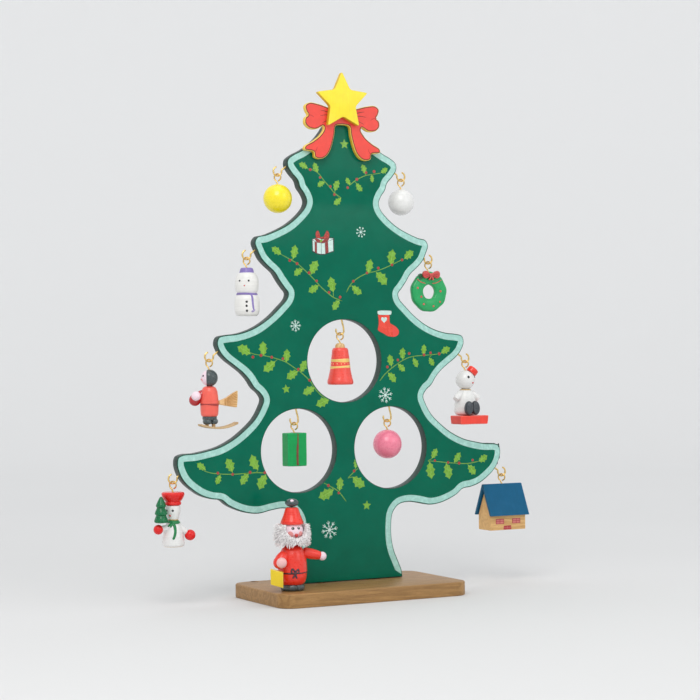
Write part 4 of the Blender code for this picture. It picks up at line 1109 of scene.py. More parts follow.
printed("print_gift_ribbons", [
    px(((196, 420), (262, 447), (262, 742), (196, 712))), px(((512, 452), (606, 418), (624, 716), (524, 752))),
    px(((186, 344), (262, 328), (520, 440), (470, 458), (262, 444))), px(((560, 312), (660, 316), (600, 410), (512, 446), (430, 400))),
], "ink_dark_red", 0.055)
bow_loop_l = spread([(430, 345), (380, 300), (345, 205), (300, 120), (252, 150), (228, 240), (250, 310), (330, 325)], 5, True)
bow_loop_r = spread([(437, 342), (472, 290), (530, 190), (580, 118), (630, 160), (648, 250), (620, 312), (530, 338)], 5, True)


def grown(loop, k):
    cx, cz = (sum(q[i] for q in loop) / len(loop) for i in (0, 1))
    return [(cx + (x - cx) * k, cz + (z - cz) * k) for x, z in loop]


printed("print_gift_bow_outline", [px(grown(bow_loop_l, 1.13)), px(grown(bow_loop_r, 1.13))], "ink_line", 0.06)
printed("print_gift_bow", [px(bow_loop_l), px(bow_loop_r), px([(430 + 38 * math.cos(a), 318 + 32 * math.sin(a)) for a in np.linspace(0, math.tau, 16, endpoint=False)])],
        "ink_brick", 0.065)
printed("print_gift_bow_lines", [
    px(stroke([(196, 420), (196, 708)], 5)), px(stroke([(262, 448), (262, 738)], 5)), px(stroke([(512, 456), (524, 748)], 5)),
    px(stroke([(606, 424), (624, 712)], 5)),
    px(stroke([(300, 170), (322, 240), (380, 300)], 9)), px(stroke([(584, 170), (560, 235), (480, 300)], 9)),
    px(stroke([(398, 340), (398, 762)], 9)), px(stroke([(404, 322), (430, 344), (462, 322)], 8)),
], "ink_line", 0.075)
printed("print_gift_sprig", [leaf(*px([(430, 352), (366, 440)]), 0.62)[0]], "leaf", 0.08)


def sock(points):
    return [(18.0 + x / 40.0, 160.0 - z / 40.0) for x, z in points]


SOCK = [(178, 238), (300, 246), (470, 244), (478, 320), (482, 400), (500, 440), (560, 470), (640, 515), (700, 570), (728, 630),
        (715, 690), (660, 735), (590, 752), (480, 745), (400, 722), (330, 680), (260, 650), (195, 618), (165, 580), (176, 520), (190, 430), (186, 330)]
CUFF = [(158, 150), (250, 136), (400, 138), (520, 142), (538, 165), (524, 225), (500, 236), (340, 240), (185, 232), (160, 205)]
sock_line = spread(SOCK, 5, True)
printed("print_stocking_outline", [sock([(x + (x - 430) * 0.025, z + (z - 480) * 0.03) for x, z in sock_line]),
                                   sock([(x + (x - 350) * 0.03, z + (z - 188) * 0.16) for x, z in soften(CUFF, 14, 3)])], "ink_line", 0.035)
printed("print_stocking", [sock(sock_line)], "ink_red", 0.048)
printed("print_stocking_cuff", [sock(soften(CUFF, 14, 3))], "snow", 0.06)
toe = [q for q in sock_line if q[0] > 560]
printed("print_stocking_toe", [sock([*toe, (560, 620)])], "bow", 0.056)
heart = [(16 * math.sin(t) ** 3, 13 * math.cos(t) - 5 * math.cos(2 * t) - 2 * math.cos(3 * t) - math.cos(4 * t))
         for t in np.linspace(0, math.tau, 36, endpoint=False)]
printed("print_stocking_heart", [sock([(332 + x * 5.0, 352 - z * 5.0) for x, z in heart])], "snow", 0.06)

# Small chips where the band and the paint are knocked at the lowest right tip
chips = []
for x, z, r in ((104.6, 75.2, 0.9), (106.0, 72.6, 0.55), (105.3, 68.0, 0.7), (103.4, 64.4, 0.45), (101.2, 76.2, 0.5), (106.2, 70.4, 0.35)):
    pts = [(x + r * rand.uniform(0.6, 1.15) * math.cos(a), z + 1.5 * r * rand.uniform(0.6, 1.15) * math.sin(a))
           for a in np.linspace(0, math.tau, 9, endpoint=False)]
    chips.append([(min(a, 104.9 if b > 74.6 else 105.2), b) for a, b in pts])
printed("print_border_chips", [ccw(c) for c in chips if abs(area_of(c)) > 0.05], "ink_chip", 0.058)

# --- Bow and star ----------------------------------------------------------------------------

bow_outline = ccw(mirrored(spread(BOW, 9)))
bow_outline = thin(bow_outline + [bow_outline[0]], 0.012)[:-1]
bow_obj = make("bow_visual", slab(bow_outline, BOW_T, (), 0.32, 3), [M["bow_gold"], M["bow_back"]], "tree", (BOW_X, BOW_Y, 0),
               slot="bow_red", stands_for=("bow",), sharp=50)
for poly in bow_obj.data.polygons:
    poly.material_index = 1 if poly.normal.y > 0.9 else 0


def shrunk(loop, d, step=0.25):
    """A closed outline moved inward by d, with the parts that would cross left out."""
    p, q, keep = inset(loop, d, step, 0.04)
    line = [tuple(v) for v in q[keep]]
    return thin(line + [line[0]], 0.01)[:-1]


def on_bow(name, shapes, mat, lift):
    bm = sheet_of(shapes, -BOW_T / 2 - lift, -BOW_T / 2 + 0.04)
    return make(name, bm, M[mat], "tree", (BOW_X, BOW_Y, 0), slot="bow_red", weld=0)


on_bow("bow_line_visual", [shrunk(bow_outline, 0.30)], "bow_line", 0.03)
on_bow("bow_face_visual", [shrunk(bow_outline, 0.8)], "bow", 0.07)
folds = [
    [(6.5, 268.4), (11, 269.2), (15.5, 268.8)], [(6.5, 266.6), (10.5, 266.0), (14, 264.6)], [(8, 270.4), (11.5, 271.4), (14.4, 271.9)],
    [(-6.5, 268.2), (-10.5, 269.0), (-14.5, 268.4)], [(-6.5, 266.4), (-10, 265.8), (-13.4, 264.2)], [(-8, 270.2), (-11.5, 271.2), (-14, 271.4)],
    [(-5.6, 262), (-3, 261.2), (0, 261.0), (3, 261.2), (5.6, 262)],
]
on_bow("bow_folds", [stroke(f, 0.5, (1.0, 0.35)) for f in folds[:6]], "bow_line", 0.1)
on_bow("bow_curls", [stroke(f, 0.6, (0.9, 0.4)) for f in (
    [(22.4, 268.5), (20.2, 268.2), (18.4, 267.2)], [(-22.4, 268.5), (-20.2, 268.3), (-18.6, 267.4)],
    [(18.4, 247.2), (17.2, 248.6), (16.6, 250.4)], [(-18.4, 247.2), (-17.2, 248.6), (-16.6, 250.4)])], "bow_fold", 0.1)

star_outline = []
for i in range(10):
    a = math.radians(90 + STAR_TILT + 36 * i)
    r = STAR_IN if i % 2 else STAR_R
    star_outline.append((r * math.cos(a), r * math.sin(a)))
star_outline = soften(star_outline, 1.5, 6, least=20)
star_bm = slab(star_outline, STAR_T, (), 0.3, 3)
star_obj = make("star_visual", star_bm, [M["star"], M["star_edge_painted_shade"]], "tree", (STAR_X, STAR_Y, STAR_Z), slot="star_yellow",
                stands_for=("star",), sharp=50)
# Faces that turn away from front and back take the darker edge yellow, painted shade.
for poly in star_obj.data.polygons:
    poly.material_index = 0 if abs(poly.normal.y) > 0.85 else 1

# --- Stand -----------------------------------------------------------------------------------


def rounded_rectangle(x0, x1, y0, y1, r, n=12):
    out = []
    for cx, cy, a in ((x1 - r, y1 - r, 0), (x0 + r, y1 - r, 90), (x0 + r, y0 + r, 180), (x1 - r, y0 + r, 270)):
        out += arc(cx, cy, r, a, a + 90, n)
    return out


# The slab lies flat: its front face becomes the upper one
stand_holes = [circle(-16, 0, 1.8, 28), circle(16, 0, 1.8, 28), circle(-46.0, 25.0, 2.1, 32)]
stand_bm = slab([(x, -z) for x, z in rounded_rectangle(-60, 60, -28, 42, 9)], 8.0, stand_holes, 0.9, 4, 0.7)
bmesh.ops.rotate(stand_bm, cent=(0, 0, 0), matrix=Matrix.Rotation(math.radians(-90), 3, "X"), verts=stand_bm.verts)
bmesh.ops.translate(stand_bm, vec=(0, 0, 4.0), verts=stand_bm.verts)
make("stand_plate_visual", stand_bm, M["stand"], "stand", slot="stand_brown", stands_for=("stand_plate",), sharp=45)
for k, (x, y, r, deep) in enumerate(((-16, 0, 1.8, 5.8), (16, 0, 1.8, 5.8), (-46.0, -25.0, 2.1, 6.5))):
    # The socket's floor and wall, just outside the plate's own hole
    cup = lathe([(0, 8 - deep), (r - 0.02, 8 - deep), (r + 0.02, 8 - deep + 0.1), (r + 0.02, 7.2), (r + 0.35, 7.0), (r + 0.35, 8 - deep - 0.35), (0, 8 - deep - 0.35)], 28)
    make(f"stand_socket_{k}", cup, M["stand"], "stand", (x, y, 0), slot="stand_brown")
for side, x in (("left", -16.0), ("right", 16.0)):
    peg = turned([(0, 20), (1.5, 20), (1.5, 2.5), (0, 2.5)], 0.45)
    make(f"dowel_{side}_visual", lathe(peg, 28), M["dowel"], "stand", (x, 0, 0), slot="dowel_wood", stands_for=(f"dowel_{side}",))

# --- Screw hooks and eyes ----------------------------------------------------------------------

HOOK_WIRE, HOOK_U = 0.5, 2.6
EYE_WIRE, EYE_R = 0.42, 2.1
EYE_MID = HOOK_WIRE + EYE_WIRE + 0.25 - EYE_R


def hook_path(side, shank, free_end):
    (sx, sz), (dx, dz), long = shank
    bend = arc(0, HOOK_U, HOOK_U, free_end, 348, 46)
    tip = (sx + dx * long, sz + dz * long)
    neck = [bend[-1], (sx, sz), (sx + dx * 2, sz + dz * 2), tip]
    return [(x * side, 0, z) for x, z in bend[:-1] + spread(neck, 8)]


for name, x, z in BRANCH_HOOKS + HOLE_HOOKS:
    branch = (name, x, z) in BRANCH_HOOKS
    side = 1 if x < 0 or not branch else -1
    shank = ((2.72, 3.4), (0.8, 0.6), 9.0) if branch else ((2.35, 4.2), (-0.25, 0.968), 11.0)
    bm = sweep(hook_path(side, shank, 112 if branch else 168), HOOK_WIRE, 14)
    make(name + "_visual", bm, M["brass"], "tree", (x, 0, z), slot="brass", stands_for=(name,))


def eye_piece(body, name):
    """A screw eye: a ring bent from wire that closes behind its own shank."""
    ring = [(EYE_R * math.cos(a), EYE_MID + EYE_R * math.sin(a)) for a in np.radians(np.linspace(-62, 240, 48))]
    shank = [(0, ORN_TOP - 2.8), (0, ORN_TOP - 1), (0, ORN_TOP), (0, ORN_TOP + 0.25)]
    t = math.radians(35)
    turn_in = spread([shank[-1], (0.25, ORN_TOP + 0.6), ring[0]], 5)
    line = shank[:-1] + turn_in[:-1] + ring
    path = [(-a * math.sin(t), a * math.cos(t) + (0.0 if i < len(line) - 6 else 0.12 * (i - len(line) + 7)), b) for i, (a, b) in enumerate(line)]
    bm = sweep(path, EYE_WIRE, 12)
    make(name + "_visual", bm, M["brass_eye"], body, slot="brass", stands_for=(name,))


for orn in HANGS:
    eye_piece(orn + "_hanging", orn + "_eye")

# --- Hanging ornaments -------------------------------------------------------------------------


def orn(name, bm, mat, owner, slot, at=(0, 0, 0), turn=None, stands_for=(), sharp=38, weld=1e-4):
    """A piece of an ornament; heights count down from the ornament's top."""
    return make(name, bm, mat, owner + "_hanging", (at[0], at[1], at[2] + ORN_TOP), turn, slot, stands_for, sharp, weld)


def paint_by(obj, rule):
    """Gives each face the material index that rule returns for its middle, in millimetres."""
    for poly in obj.data.polygons:
        poly.material_index = rule(poly.center / MM, poly.normal)
    return obj


def fine(profile, step=0.35):
    """Adds rings to a turned profile so that no two are further apart than step."""
    out = [profile[0]]
    for a, b in zip(profile, profile[1:]):
        n = max(1, int(math.ceil(math.dist(a, b) / step)))
        out += [(a[0] + (b[0] - a[0]) * k / n, a[1] + (b[1] - a[1]) * k / n) for k in range(1, n + 1)]
    return out


def bored_top(profile, depth=3.0, r=0.5):
    """Opens a turned profile's top for the screw eye's shank."""
    top = profile[0][1]
    rest = [q for q in profile if q[0] > 0.95]
    return [(0, top - depth), (r, top - depth), (r, top - 0.42), (0.62, top - 0.2), (0.9, min(top - 0.06, rest[0][1] + 0.3)), *rest, profile[-1]]


def uneven(bm, amount, freq=0.35, seed=0, axis=True):
    """Moves vertices sideways by slow waves, as hand sanding leaves a turned piece."""
    local = np.random.RandomState(seed)
    waves = [(local.normal(0, 1, 3) * freq, local.uniform(0, 6.28)) for _ in range(5)]
    for v in bm.verts:
        r = math.hypot(v.co.x, v.co.y)
        if axis and r < 1.2:
            continue
        k = amount * sum(math.sin(w[0] * v.co.x + w[1] * v.co.y + w[2] * v.co.z + ph) for w, ph in waves) / 2.2
        if r > 1e-6:
            v.co.x += v.co.x / r * k
            v.co.y += v.co.y / r * k
    return bm


def ribbon_on(profile, path, width, proud=0.16, depth=0.25, taper=(1.0, 1.0), per=5, bm=None, round_ends=True):
    """A raised brush stroke that lies on a turned body along (azimuth, height) points."""
    bm = bm or bmesh.new()
    line = spread(path, per) if len(path) > 2 else [tuple(q) for q in resampled([(a, z * 10) for a, z in path], 1.0, False) * (1, 0.1)]
    s = np.linspace(0, 1, len(line))
    cross = (-1.0, -0.8, -0.4, 0.0, 0.4, 0.8, 1.0)
    rings = []
    for i, (az, z) in enumerate(line):
        (a0, z0), (a1, z1) = line[max(i - 1, 0)], line[min(i + 1, len(line) - 1)]
        r = max(radius_at(profile, z), 0.5)
        du, dz = math.radians(a1 - a0) * r, z1 - z0
        long = max(math.hypot(du, dz), 1e-6)
        du, dz = du / long, dz / long
        w = width / 2 * (taper[0] * (1 - s[i]) + taper[1] * s[i])
        if round_ends:
            w *= math.sqrt(max(0.12, 1 - max(0, 1 - s[i] * 9) ** 2)) * math.sqrt(max(0.12, 1 - max(0, 1 - (1 - s[i]) * 9) ** 2))
        top, low = [], []
        for u in cross:
            off = u * w
            zz = z + du * off
            aa = az + math.degrees(-dz * off / r)
            p, n = on_turned(profile, aa, zz)
            top.append(p + n * (proud * (1 - abs(u) ** 3) - 0.015))
            if u in (-1.0, 0.0, 1.0):
                low.append(p - n * depth)
        rings.append([bm.verts.new(q) for q in top + low[::-1]])
    for a, b in zip(rings, rings[1:]):
        stitch(bm, a, b)
    bm.faces.new(rings[0])
    bm.faces.new(list(reversed(rings[-1])))
    return bm


def dots_on(profile, spots, r, high=None, stretch=1.0, bm=None):
    bm = bm or bmesh.new()
    for az, z in spots:
        p, n = on_turned(profile, az, z)
        drop_at(bm, p, n, r, high, stretch)
    return bm


# Balls: turned beads, drilled for the screw eye, with the mark of the turning's end below
for name, mat, slot, r in (("yellow_ball", "yellow", "paint_yellow", 8.3), ("white_ball", "pearl", "paint_white", 7.75),
                           ("pink_ball", "pink", "paint_pink", 8.5)):
    profile = [(0, 0)] + [(r * math.sin(a), -r + r * math.cos(a)) for a in np.linspace(0.13, math.pi - 0.16, 52)]
    profile += [(r * 0.1, -2 * r + 0.16), (0, -2 * r + 0.2)]
    orn(name + "_visual", uneven(lathe(bored_top(profile), 72), 0.05, 0.3, len(name)), M[mat], name, slot, stands_for=(name,))

# Bell: pale cap, red body with two hand-painted gold bands, flared lip
bell = turned([(0, 0), (1.5, -0.08), (2.5, -0.7), (2.95, -2.3), (2.9, -2.7), (4.2, -2.95), (4.75, -4.2), (4.95, -6.3), (5.25, -8.2), (5.35, -9.2),
               (5.6, -11.6), (5.75, -13.2), (6.05, -15.4), (6.4, -17.2), (6.95, -19.8), (7.5, -21.8), (7.65, -23.0), (7.2, -24.1), (6.3, -24.2),
               (5.3, -23.2), (0, -22.8)], 0.5)
bell_obj = orn("bell_visual", uneven(lathe(fine(bored_top(bell)), 84), 0.07, 0.28, 3), [M["bell"], M["pale"]], "bell", "paint_red", stands_for=("bell",))
paint_by(bell_obj, lambda p, n: 1 if p.z > -2.72 else 0)
bands = bmesh.new()
join(bands, band(bell, -10.0, 1.75, 0.12, (0.25, 1, 0.6), widths=(0.3, 1, 2.4)))
join(bands, band(bell, -14.0, 1.7, 0.12, (0.3, 1, 2.2), widths=(0.28, 1, 0.4)))
for k in range(15):
    az = k * 24 + rand.uniform(-4, 4)
    p, n = on_turned(bell, az, -12.05 + rand.uniform(-0.15, 0.15))
    drop_at(bands, p, n, 0.34, 0.1, 0.8, 12)
orn("bell_bands", bands, M["gold"], "bell", "paint_yellow")

# Gift box: a sawn block with a ribbon line painted round it
gift_bm = box_of(12, 8, 19, (0, 0, -9.5), 0.7, 4, 9, 0.06, 4)
orn("gift_box_visual", gift_bm, M["gift"], "gift_box", "paint_green", stands_for=("gift_box",), sharp=50)
ribbon = bmesh.new()
for sign in (-1, 1):
    line = [(0.35, -0.5), (0.3, -1.6), (0.25, -5), (0.0, -9), (-0.1, -14), (0.0, -18.4)]
    wide = (0.9, 0.5, 0.75, 1.25, 1.15, 1.3)
    pts = spread(line, 6)
    w = np.interp(np.linspace(0, 1, len(pts)), np.linspace(0, 1, len(wide)), wide) / 2
    w = w + 0.05 * np.sin(np.linspace(0, 26, len(pts)))
    edge = [(x - k, z) for (x, z), k in zip(pts, w)] + [(x + k, z) for (x, z), k in reversed(list(zip(pts, w)))]
    if sign < 0:
        join(ribbon, sheet_of([edge], -4.16, -3.7))
    else:
        join(ribbon, sheet_of([edge], 3.7, 4.16))
over = sheet_of([[(-0.25, -4.0), (0.75, -4.0), (0.7, 4.0), (-0.2, 4.0)]], -0.12, 0.28)
bmesh.ops.rotate(over, cent=(0, 0, 0), matrix=Matrix.Rotation(math.radians(-90), 3, "X"), verts=over.verts)
for v in over.verts:
    v.co.z = 0.09 if v.co.z > 0.1 else -0.3
    if abs(v.co.y) > 3:
        v.co.y = math.copysign(3.6, v.co.y)
join(ribbon, over)
orn("gift_box_ribbon", ribbon, M["ribbon"], "gift_box", "paint_red", weld=0)

# Purple-capped snowman
figure = turned([(0, -0.25), (3.0, -0.35), (3.6, -1.3), (3.95, -2.5), (4.3, -2.85), (5.2, -3.3), (6.25, -4.9), (6.7, -7.0), (6.75, -10.4), (6.35, -12.9), (5.7, -14.1),
                 (5.2, -14.7), (5.2, -15.1), (5.95, -15.7), (6.85, -17.1), (7.1, -20.0), (7.1, -24.3), (6.6, -26.2), (5.6, -27.35), (0, -27.5)], 0.7)
orn("cap_snowman_visual", uneven(lathe(fine(bored_top(figure)), 80), 0.09, 0.25, 6), M["white"], "cap_snowman", "paint_white",
    stands_for=("cap_snowman_body",))
purple_cap = bmesh.new()
rings = []
inner = [(r, z) for r, z in fine(figure, 0.25)]
for a in np.linspace(0, math.tau, 72, endpoint=False):
    low = -2.95 + 0.1 * math.sin(2 * a + 0.6) + 0.06 * math.sin(5 * a)
    pts = [(0.75, 0.02), (2.2, 0.0), (3.1, -0.1), (3.5, -0.45), (3.78, -1.2), (4.0, -2.0), (4.2, low + 0.35),
           (4.28, low), (3.9, low - 0.12), (3.2, -1.4), (0.75, -0.6)]
    rings.append([purple_cap.verts.new((r * math.cos(a), r * math.sin(a), z)) for r, z in pts])
for i in range(72):
    stitch(purple_cap, rings[i], rings[(i + 1) % 72])
orn("cap_snowman_cap", purple_cap, M["purple"], "cap_snowman", "paint_purple", weld=0)
scarf = band(figure, -14.9, 1.15, 0.75, (0.12, 2, 0.4), depth=0.35)
TAIL = [(0.0, -14.9), (1.5, -16.2), (2.0, -18.2), (3.0, -20.4), (4.6, -22.4), (7.0, -23.9)]
ribbon_on(figure, TAIL, 1.3, 0.42, 0.3, (1.0, 0.9), 8, scarf)
orn("cap_snowman_scarf_visual", scarf, M["purple"], "cap_snowman", "paint_purple", stands_for=("cap_snowman_scarf",))
lilac = ribbon_on(figure, [(-3.5, -24.6), (1.0, -24.8), (6.5, -24.5), (12.5, -23.7)], 1.4, 0.34, 0.3, (0.9, 1.0), 6)
M["lilac"] = paint("paint_lilac", srgb(176, 164, 208), 0.45, 0.1, 0.12, "Z", None, 0.2, 50.0)
orn("cap_snowman_scarf_fringe", lilac, M["lilac"], "cap_snowman", "paint_purple")
FACE_AZ = -39.0
features = dots_on(figure, ((FACE_AZ - 23, -7.5), (FACE_AZ + 23, -7.5)), 0.58, 0.3)
dots_on(figure, ((-26.5, -19.4), (-27.0, -21.7), (-25.5, -24.5)), 0.7, 0.34, 1.0, features)
orn("cap_snowman_eyes_and_buttons", features, M["black"], "cap_snowman", "paint_dark")
orn("cap_snowman_nose", dots_on(figure, ((FACE_AZ + 2, -10.3),), 0.42, 0.3), M["nose"], "cap_snowman", "paint_red")

# Skier
coat = turned([(0, -9.15), (2.3, -9.2), (3.7, -9.9), (4.6, -12.0), (5.0, -15.0), (5.15, -18.6), (5.15, -22.4), (4.95, -25.0), (4.4, -26.1), (0, -26.2)], 0.6)
# The coat takes the lighter red, partly painted highlight.
coat_obj = orn("skier_coat", uneven(lathe(fine(coat), 64), 0.07, 0.3, 8), M["coat"], "skier", "paint_red", stands_for=("skier_body",))
legs = bmesh.new()
hips = turned([(0, -26.1), (4.1, -26.1), (4.1, -27.2), (3.9, -28.1), (0, -28.5)], 0.3)
join(legs, lathe(fine(hips), 48))
for x, y in ((-2.0, -0.2), (2.0, 0.0)):
    foot = ball(2.35, 3.3, 2.1, (x, y - 0.9, -28.9), 32, 20, 0.05, 0.3, int(x * 10) + 40)
    for v in foot.verts:
        v.co.z = max(v.co.z, -30.4)
    join(legs, foot)
orn("skier_boots", legs, M["slate"], "skier", "paint_dark")
belt = band(coat, -19.4, 1.15, 0.15, (0.12, 2, 0.3))
M["red_line"] = paint("paint_red_line", srgb(168, 48, 44), 0.4, 0.2, 0.15, "Z", None, 0.1, 51.0)
orn("skier_belt", belt, M["red_line"], "skier", "paint_red")
FACE = Vector((-0.88, 0.47, 0.0)).normalized()
head = [(0, 0)] + [(4.6 * math.sin(a), -4.6 + 4.6 * math.cos(a)) for a in np.linspace(0.2, math.pi - 0.2, 44)] + [(0, -9.2)]
head_obj = orn("skier_head_visual", uneven(lathe(bored_top(head), 64), 0.04, 0.4, 9), M["skin"], "skier", "paint_skin", stands_for=("skier_head",))
hood = bmesh.new()
hood_from = -4.6
turn_hood = (-FACE).to_track_quat("Z", "Y").to_matrix().to_4x4()
outer = [(4.85 * math.sin(a), 4.85 * math.cos(a)) for a in np.linspace(0, math.radians(104), 34)]
edge_a = math.radians(106)
hood_profile = outer + [(4.75 * math.sin(edge_a), 4.75 * math.cos(edge_a)), (4.45 * math.sin(edge_a), 4.45 * math.cos(edge_a))]
hood_profile += [(4.4 * math.sin(a), 4.4 * math.cos(a)) for a in np.linspace(math.radians(100), 0, 20)]
hood_bm = lathe(hood_profile, 60)
for v in hood_bm.verts:
    a = math.atan2(v.co.y, v.co.x)
    if v.co.length > 4.42 and v.co.z < 0.5:
        v.co *= 1 + 0.02 * math.sin(3 * a + 0.7)
bmesh.ops.transform(hood_bm, matrix=Matrix.Translation((0, 0, hood_from)) @ turn_hood, verts=hood_bm.verts)
orn("skier_hood", hood_bm, M["slate"], "skier", "paint_dark")
face_bits = bmesh.new()
side = Vector((0, 0, 1)).cross(FACE).normalized()
for u in (0.66, -0.5):
    d = (FACE * (0.72 if u > 0 else 0.81) + side * u + Vector((0, 0, 0.29))).normalized()
    drop_at(face_bits, Vector((0, 0, -4.6)) + d * 4.56, d, 0.62, 0.26)
orn("skier_eyes", face_bits, M["black"], "skier", "paint_dark")
mouth = bmesh.new()
d = (FACE + Vector((0, 0, -0.16))).normalized()
drop_at(mouth, Vector((0, 0, -4.6)) + d * 4.58, d, 0.42, 0.3)
orn("skier_nose", mouth, M["nose"], "skier", "paint_red")
cheeks = bmesh.new()
for u in (0.46, -0.46):
    d = (FACE + side * u + Vector((0, 0, -0.26))).normalized()
    drop_at(cheeks, Vector((0, 0, -4.6)) + d * 4.58, d, 0.85, 0.06)
orn("skier_cheeks", cheeks, M["blush"], "skier", "paint_skin")
# The far arm's sleeve and cuff take the darker red, painted shade.
cuff = limb((-2.5, 0.8, -12.6), (-7.4, 2.9, -16.6), 2.2, 3.0)
join(cuff, ball(3.3, 3.1, 3.3, (-7.6, 3.0, -16.9), 36, 24, 0.03, 0.3, 40))
orn("skier_sleeve", cuff, M["red_sleeve_painted_shade"], "skier", "paint_red")
orn("skier_hand", ball(2.65, 2.65, 2.65, (-8.0, 0.2, -14.6), 36, 22, 0.03, 0.3, 12), M["skin"], "skier", "paint_skin")
xs = np.linspace(-6, 16.4, 45)
bow_up = np.where(xs < 5.2, 0.0155, 0.021) * (xs - 5.2) ** 2
runner_line = [(x, -33.25 + u) for x, u in zip(xs, bow_up)] + [(x, -32.15 + u) for x, u in list(zip(xs, bow_up))[::-1]]
runner_bm = slab(soften(runner_line, 0.45, 4), 6.0, (), 0.25, 3)
orn("skier_runner_visual", runner_bm, M["runner"], "skier", "raw_wood", stands_for=("skier_runner",), sharp=45)
posts = bmesh.new()
for x in (-2.0, 2.0):
    join(posts, limb((x, -0.8, -32.4), (x, -0.8, -29.6), 1.0, 1.0, 20))
orn("skier_posts", posts, M["dowel"], "skier", "raw_wood")
broom_line = [(5.4, -17.5), (5.5, -19.5), (7.5, -19.9), (9.5, -20.3), (13.0, -20.9), (16.4, -21.4), (16.85, -18.3), (17.05, -15.0), (17.0, -11.9), (13.5, -14.0), (10.0, -15.9), (7.6, -16.8)]
broom_bm = slab(soften(broom_line, 0.4, 3), 2.4, (), 0.35, 3)
orn("skier_broom_visual", broom_bm, M["straw"], "skier", "raw_wood", stands_for=("skier_broom",), sharp=45)
straws = bmesh.new()
for k in range(9):
    t = (k - 4) / 4.4
    a = (9.7, -18.15 + t * 1.9)
    b = (16.5 - 0.2 * abs(t), -16.7 + t * 4.5)
    for y0, y1 in ((-1.36, -1.1), (1.1, 1.36)):
        join(straws, sheet_of([stroke([a, ((a[0] + b[0]) / 2, (a[1] + b[1]) / 2 + 0.1 * t), b], 0.34, (0.7, 1.2))], y0, y1))
join(straws, sheet_of([stroke([(9.1, -16.35), (9.0, -18.2), (9.1, -20.1)], 0.5)], -1.42, 1.42))
M["straw_line"] = wood("raw_wood_straw", srgb(206, 150, 80), srgb(150, 98, 40), "X", 0.6, 0.0, 0.5, 0.7, 13.0)
orn("skier_broom_straws", straws, M["straw_line"], "skier", "raw_wood", weld=0)

# Tall snowman with a small tree
hat = turned([(0, 0), (5.6, 0), (6.35, -0.6), (6.4, -1.5), (5.95, -2.9), (5.05, -4.4), (4.35, -5.2), (4.2, -5.35), (4.5, -5.7), (4.65, -6.3), (4.5, -6.95), (4.1, -7.25), (0, -7.3)], 0.35)
orn("tall_snowman_hat_visual", uneven(lathe(fine(bored_top(hat)), 72), 0.05, 0.3, 14), M["red_bright"], "tall_snowman", "paint_red", stands_for=("tall_snowman_hat",))
tall_head = turned([(0, -7.4), (3.9, -7.45), (4.15, -8.3), (4.1, -9.8), (3.85, -11.6), (3.35, -13.6), (2.85, -15.1), (2.45, -15.8), (0, -15.95)], 0.4)
orn("tall_snowman_head_visual", uneven(lathe(fine(tall_head), 64), 0.04, 0.4, 15), M["pearl"], "tall_snowman", "paint_white", stands_for=("tall_snowman_head",))
tall_body = turned([(0, -16.1), (2.5, -16.15), (3.4, -16.9), (4.3, -18.6), (5.1, -21.2), (5.8, -24.4), (6.2, -27.6), (6.3, -29.2), (5.9, -29.95), (5.2, -30.2), (0, -30.2)], 0.5)
body_obj = orn("tall_snowman_body_visual", uneven(lathe(fine(tall_body), 72), 0.06, 0.3, 16), [M["pearl"], M["pale"]], "tall_snowman", "paint_white",
               stands_for=("tall_snowman_body",))
paint_by(body_obj, lambda p, n: 1 if n.z < -0.8 and p.z < -29.9 else 0)
orn("tall_snowman_arm", limb((2.2, -0.4, -19.0), (7.4, -1.4, -22.9), 2.2, 1.6), M["pearl"], "tall_snowman", "paint_white")
orn("tall_snowman_sleeve", limb((-2.4, -0.5, -19.6), (-7.8, -0.6, -20.2), 1.9, 1.6), M["pearl"], "tall_snowman", "paint_white")
orn("tall_snowman_mitten_right", ball(3.1, 3.05, 3.05, (9.2, -1.9, -24.2), 40, 24, 0.03, 0.3, 17), M["red_bright"], "tall_snowman", "paint_red")
orn("tall_snowman_mitten_left", ball(2.7, 2.7, 2.7, (-9.2, -0.6, -20.4), 40, 24, 0.03, 0.3, 18), M["red_bright"], "tall_snowman", "paint_red")
fir = turned([(0, 1.2), (0.9, 0.55), (1.95, -1.6), (2.8, -3.6), (2.85, -4.3), (2.35, -4.85), (2.35, -5.25), (3.15, -6.9), (3.55, -8.1), (3.5, -8.7), (2.9, -9.15),
              (2.9, -9.5), (3.55, -11.0), (3.95, -12.2), (3.9, -12.9), (3.3, -13.35), (2.3, -13.5), (0, -13.5)], 0.3)
orn("tall_snowman_tree_visual", uneven(lathe(fine(fir, 0.3), 56), 0.05, 0.4, 19), M["fir"], "tall_snowman", "paint_green", (-8.1, -2.3, -3.2),
    stands_for=("tall_snowman_tree",))
T_AZ = -54.0
orn("tall_snowman_eyes", dots_on(tall_head, ((T_AZ - 28, -10.1), (T_AZ + 28, -10.1)), 0.66, 0.28), M["black"], "tall_snowman", "paint_dark")
orn("tall_snowman_nose", dots_on(tall_head, ((T_AZ, -12.9),), 0.6, 0.42), M["nose"], "tall_snowman", "paint_red")
orn("tall_snowman_collar", band([(2.5, -16.4), (2.55, -15.9), (2.85, -15.1), (3.3, -13.9)], -15.35, 0.7, 0.14, (0.08, 2, 0.4)), M["collar"], "tall_snowman", "raw_wood")
neck_profile = [(2.3, -15.4), (2.45, -15.8), (2.6, -16.15), (3.4, -16.9), (4.3, -18.6), (5.1, -21.2), (5.8, -24.4), (6.2, -27.6)]
scarf = band(neck_profile, -16.35, 1.9, 0.75, (0.18, 2, 0.9), depth=0.3, widths=(0.12, 3, 0.2))
ribbon_on(neck_profile, [(-24, -16.4), (-18, -17.8), (-11, -19.4), (-10, -21.4), (-14, -23.4), (-20, -25.0), (-25, -26.0)], 1.7, 0.42, 0.35, (1.15, 0.8), 8, scarf)
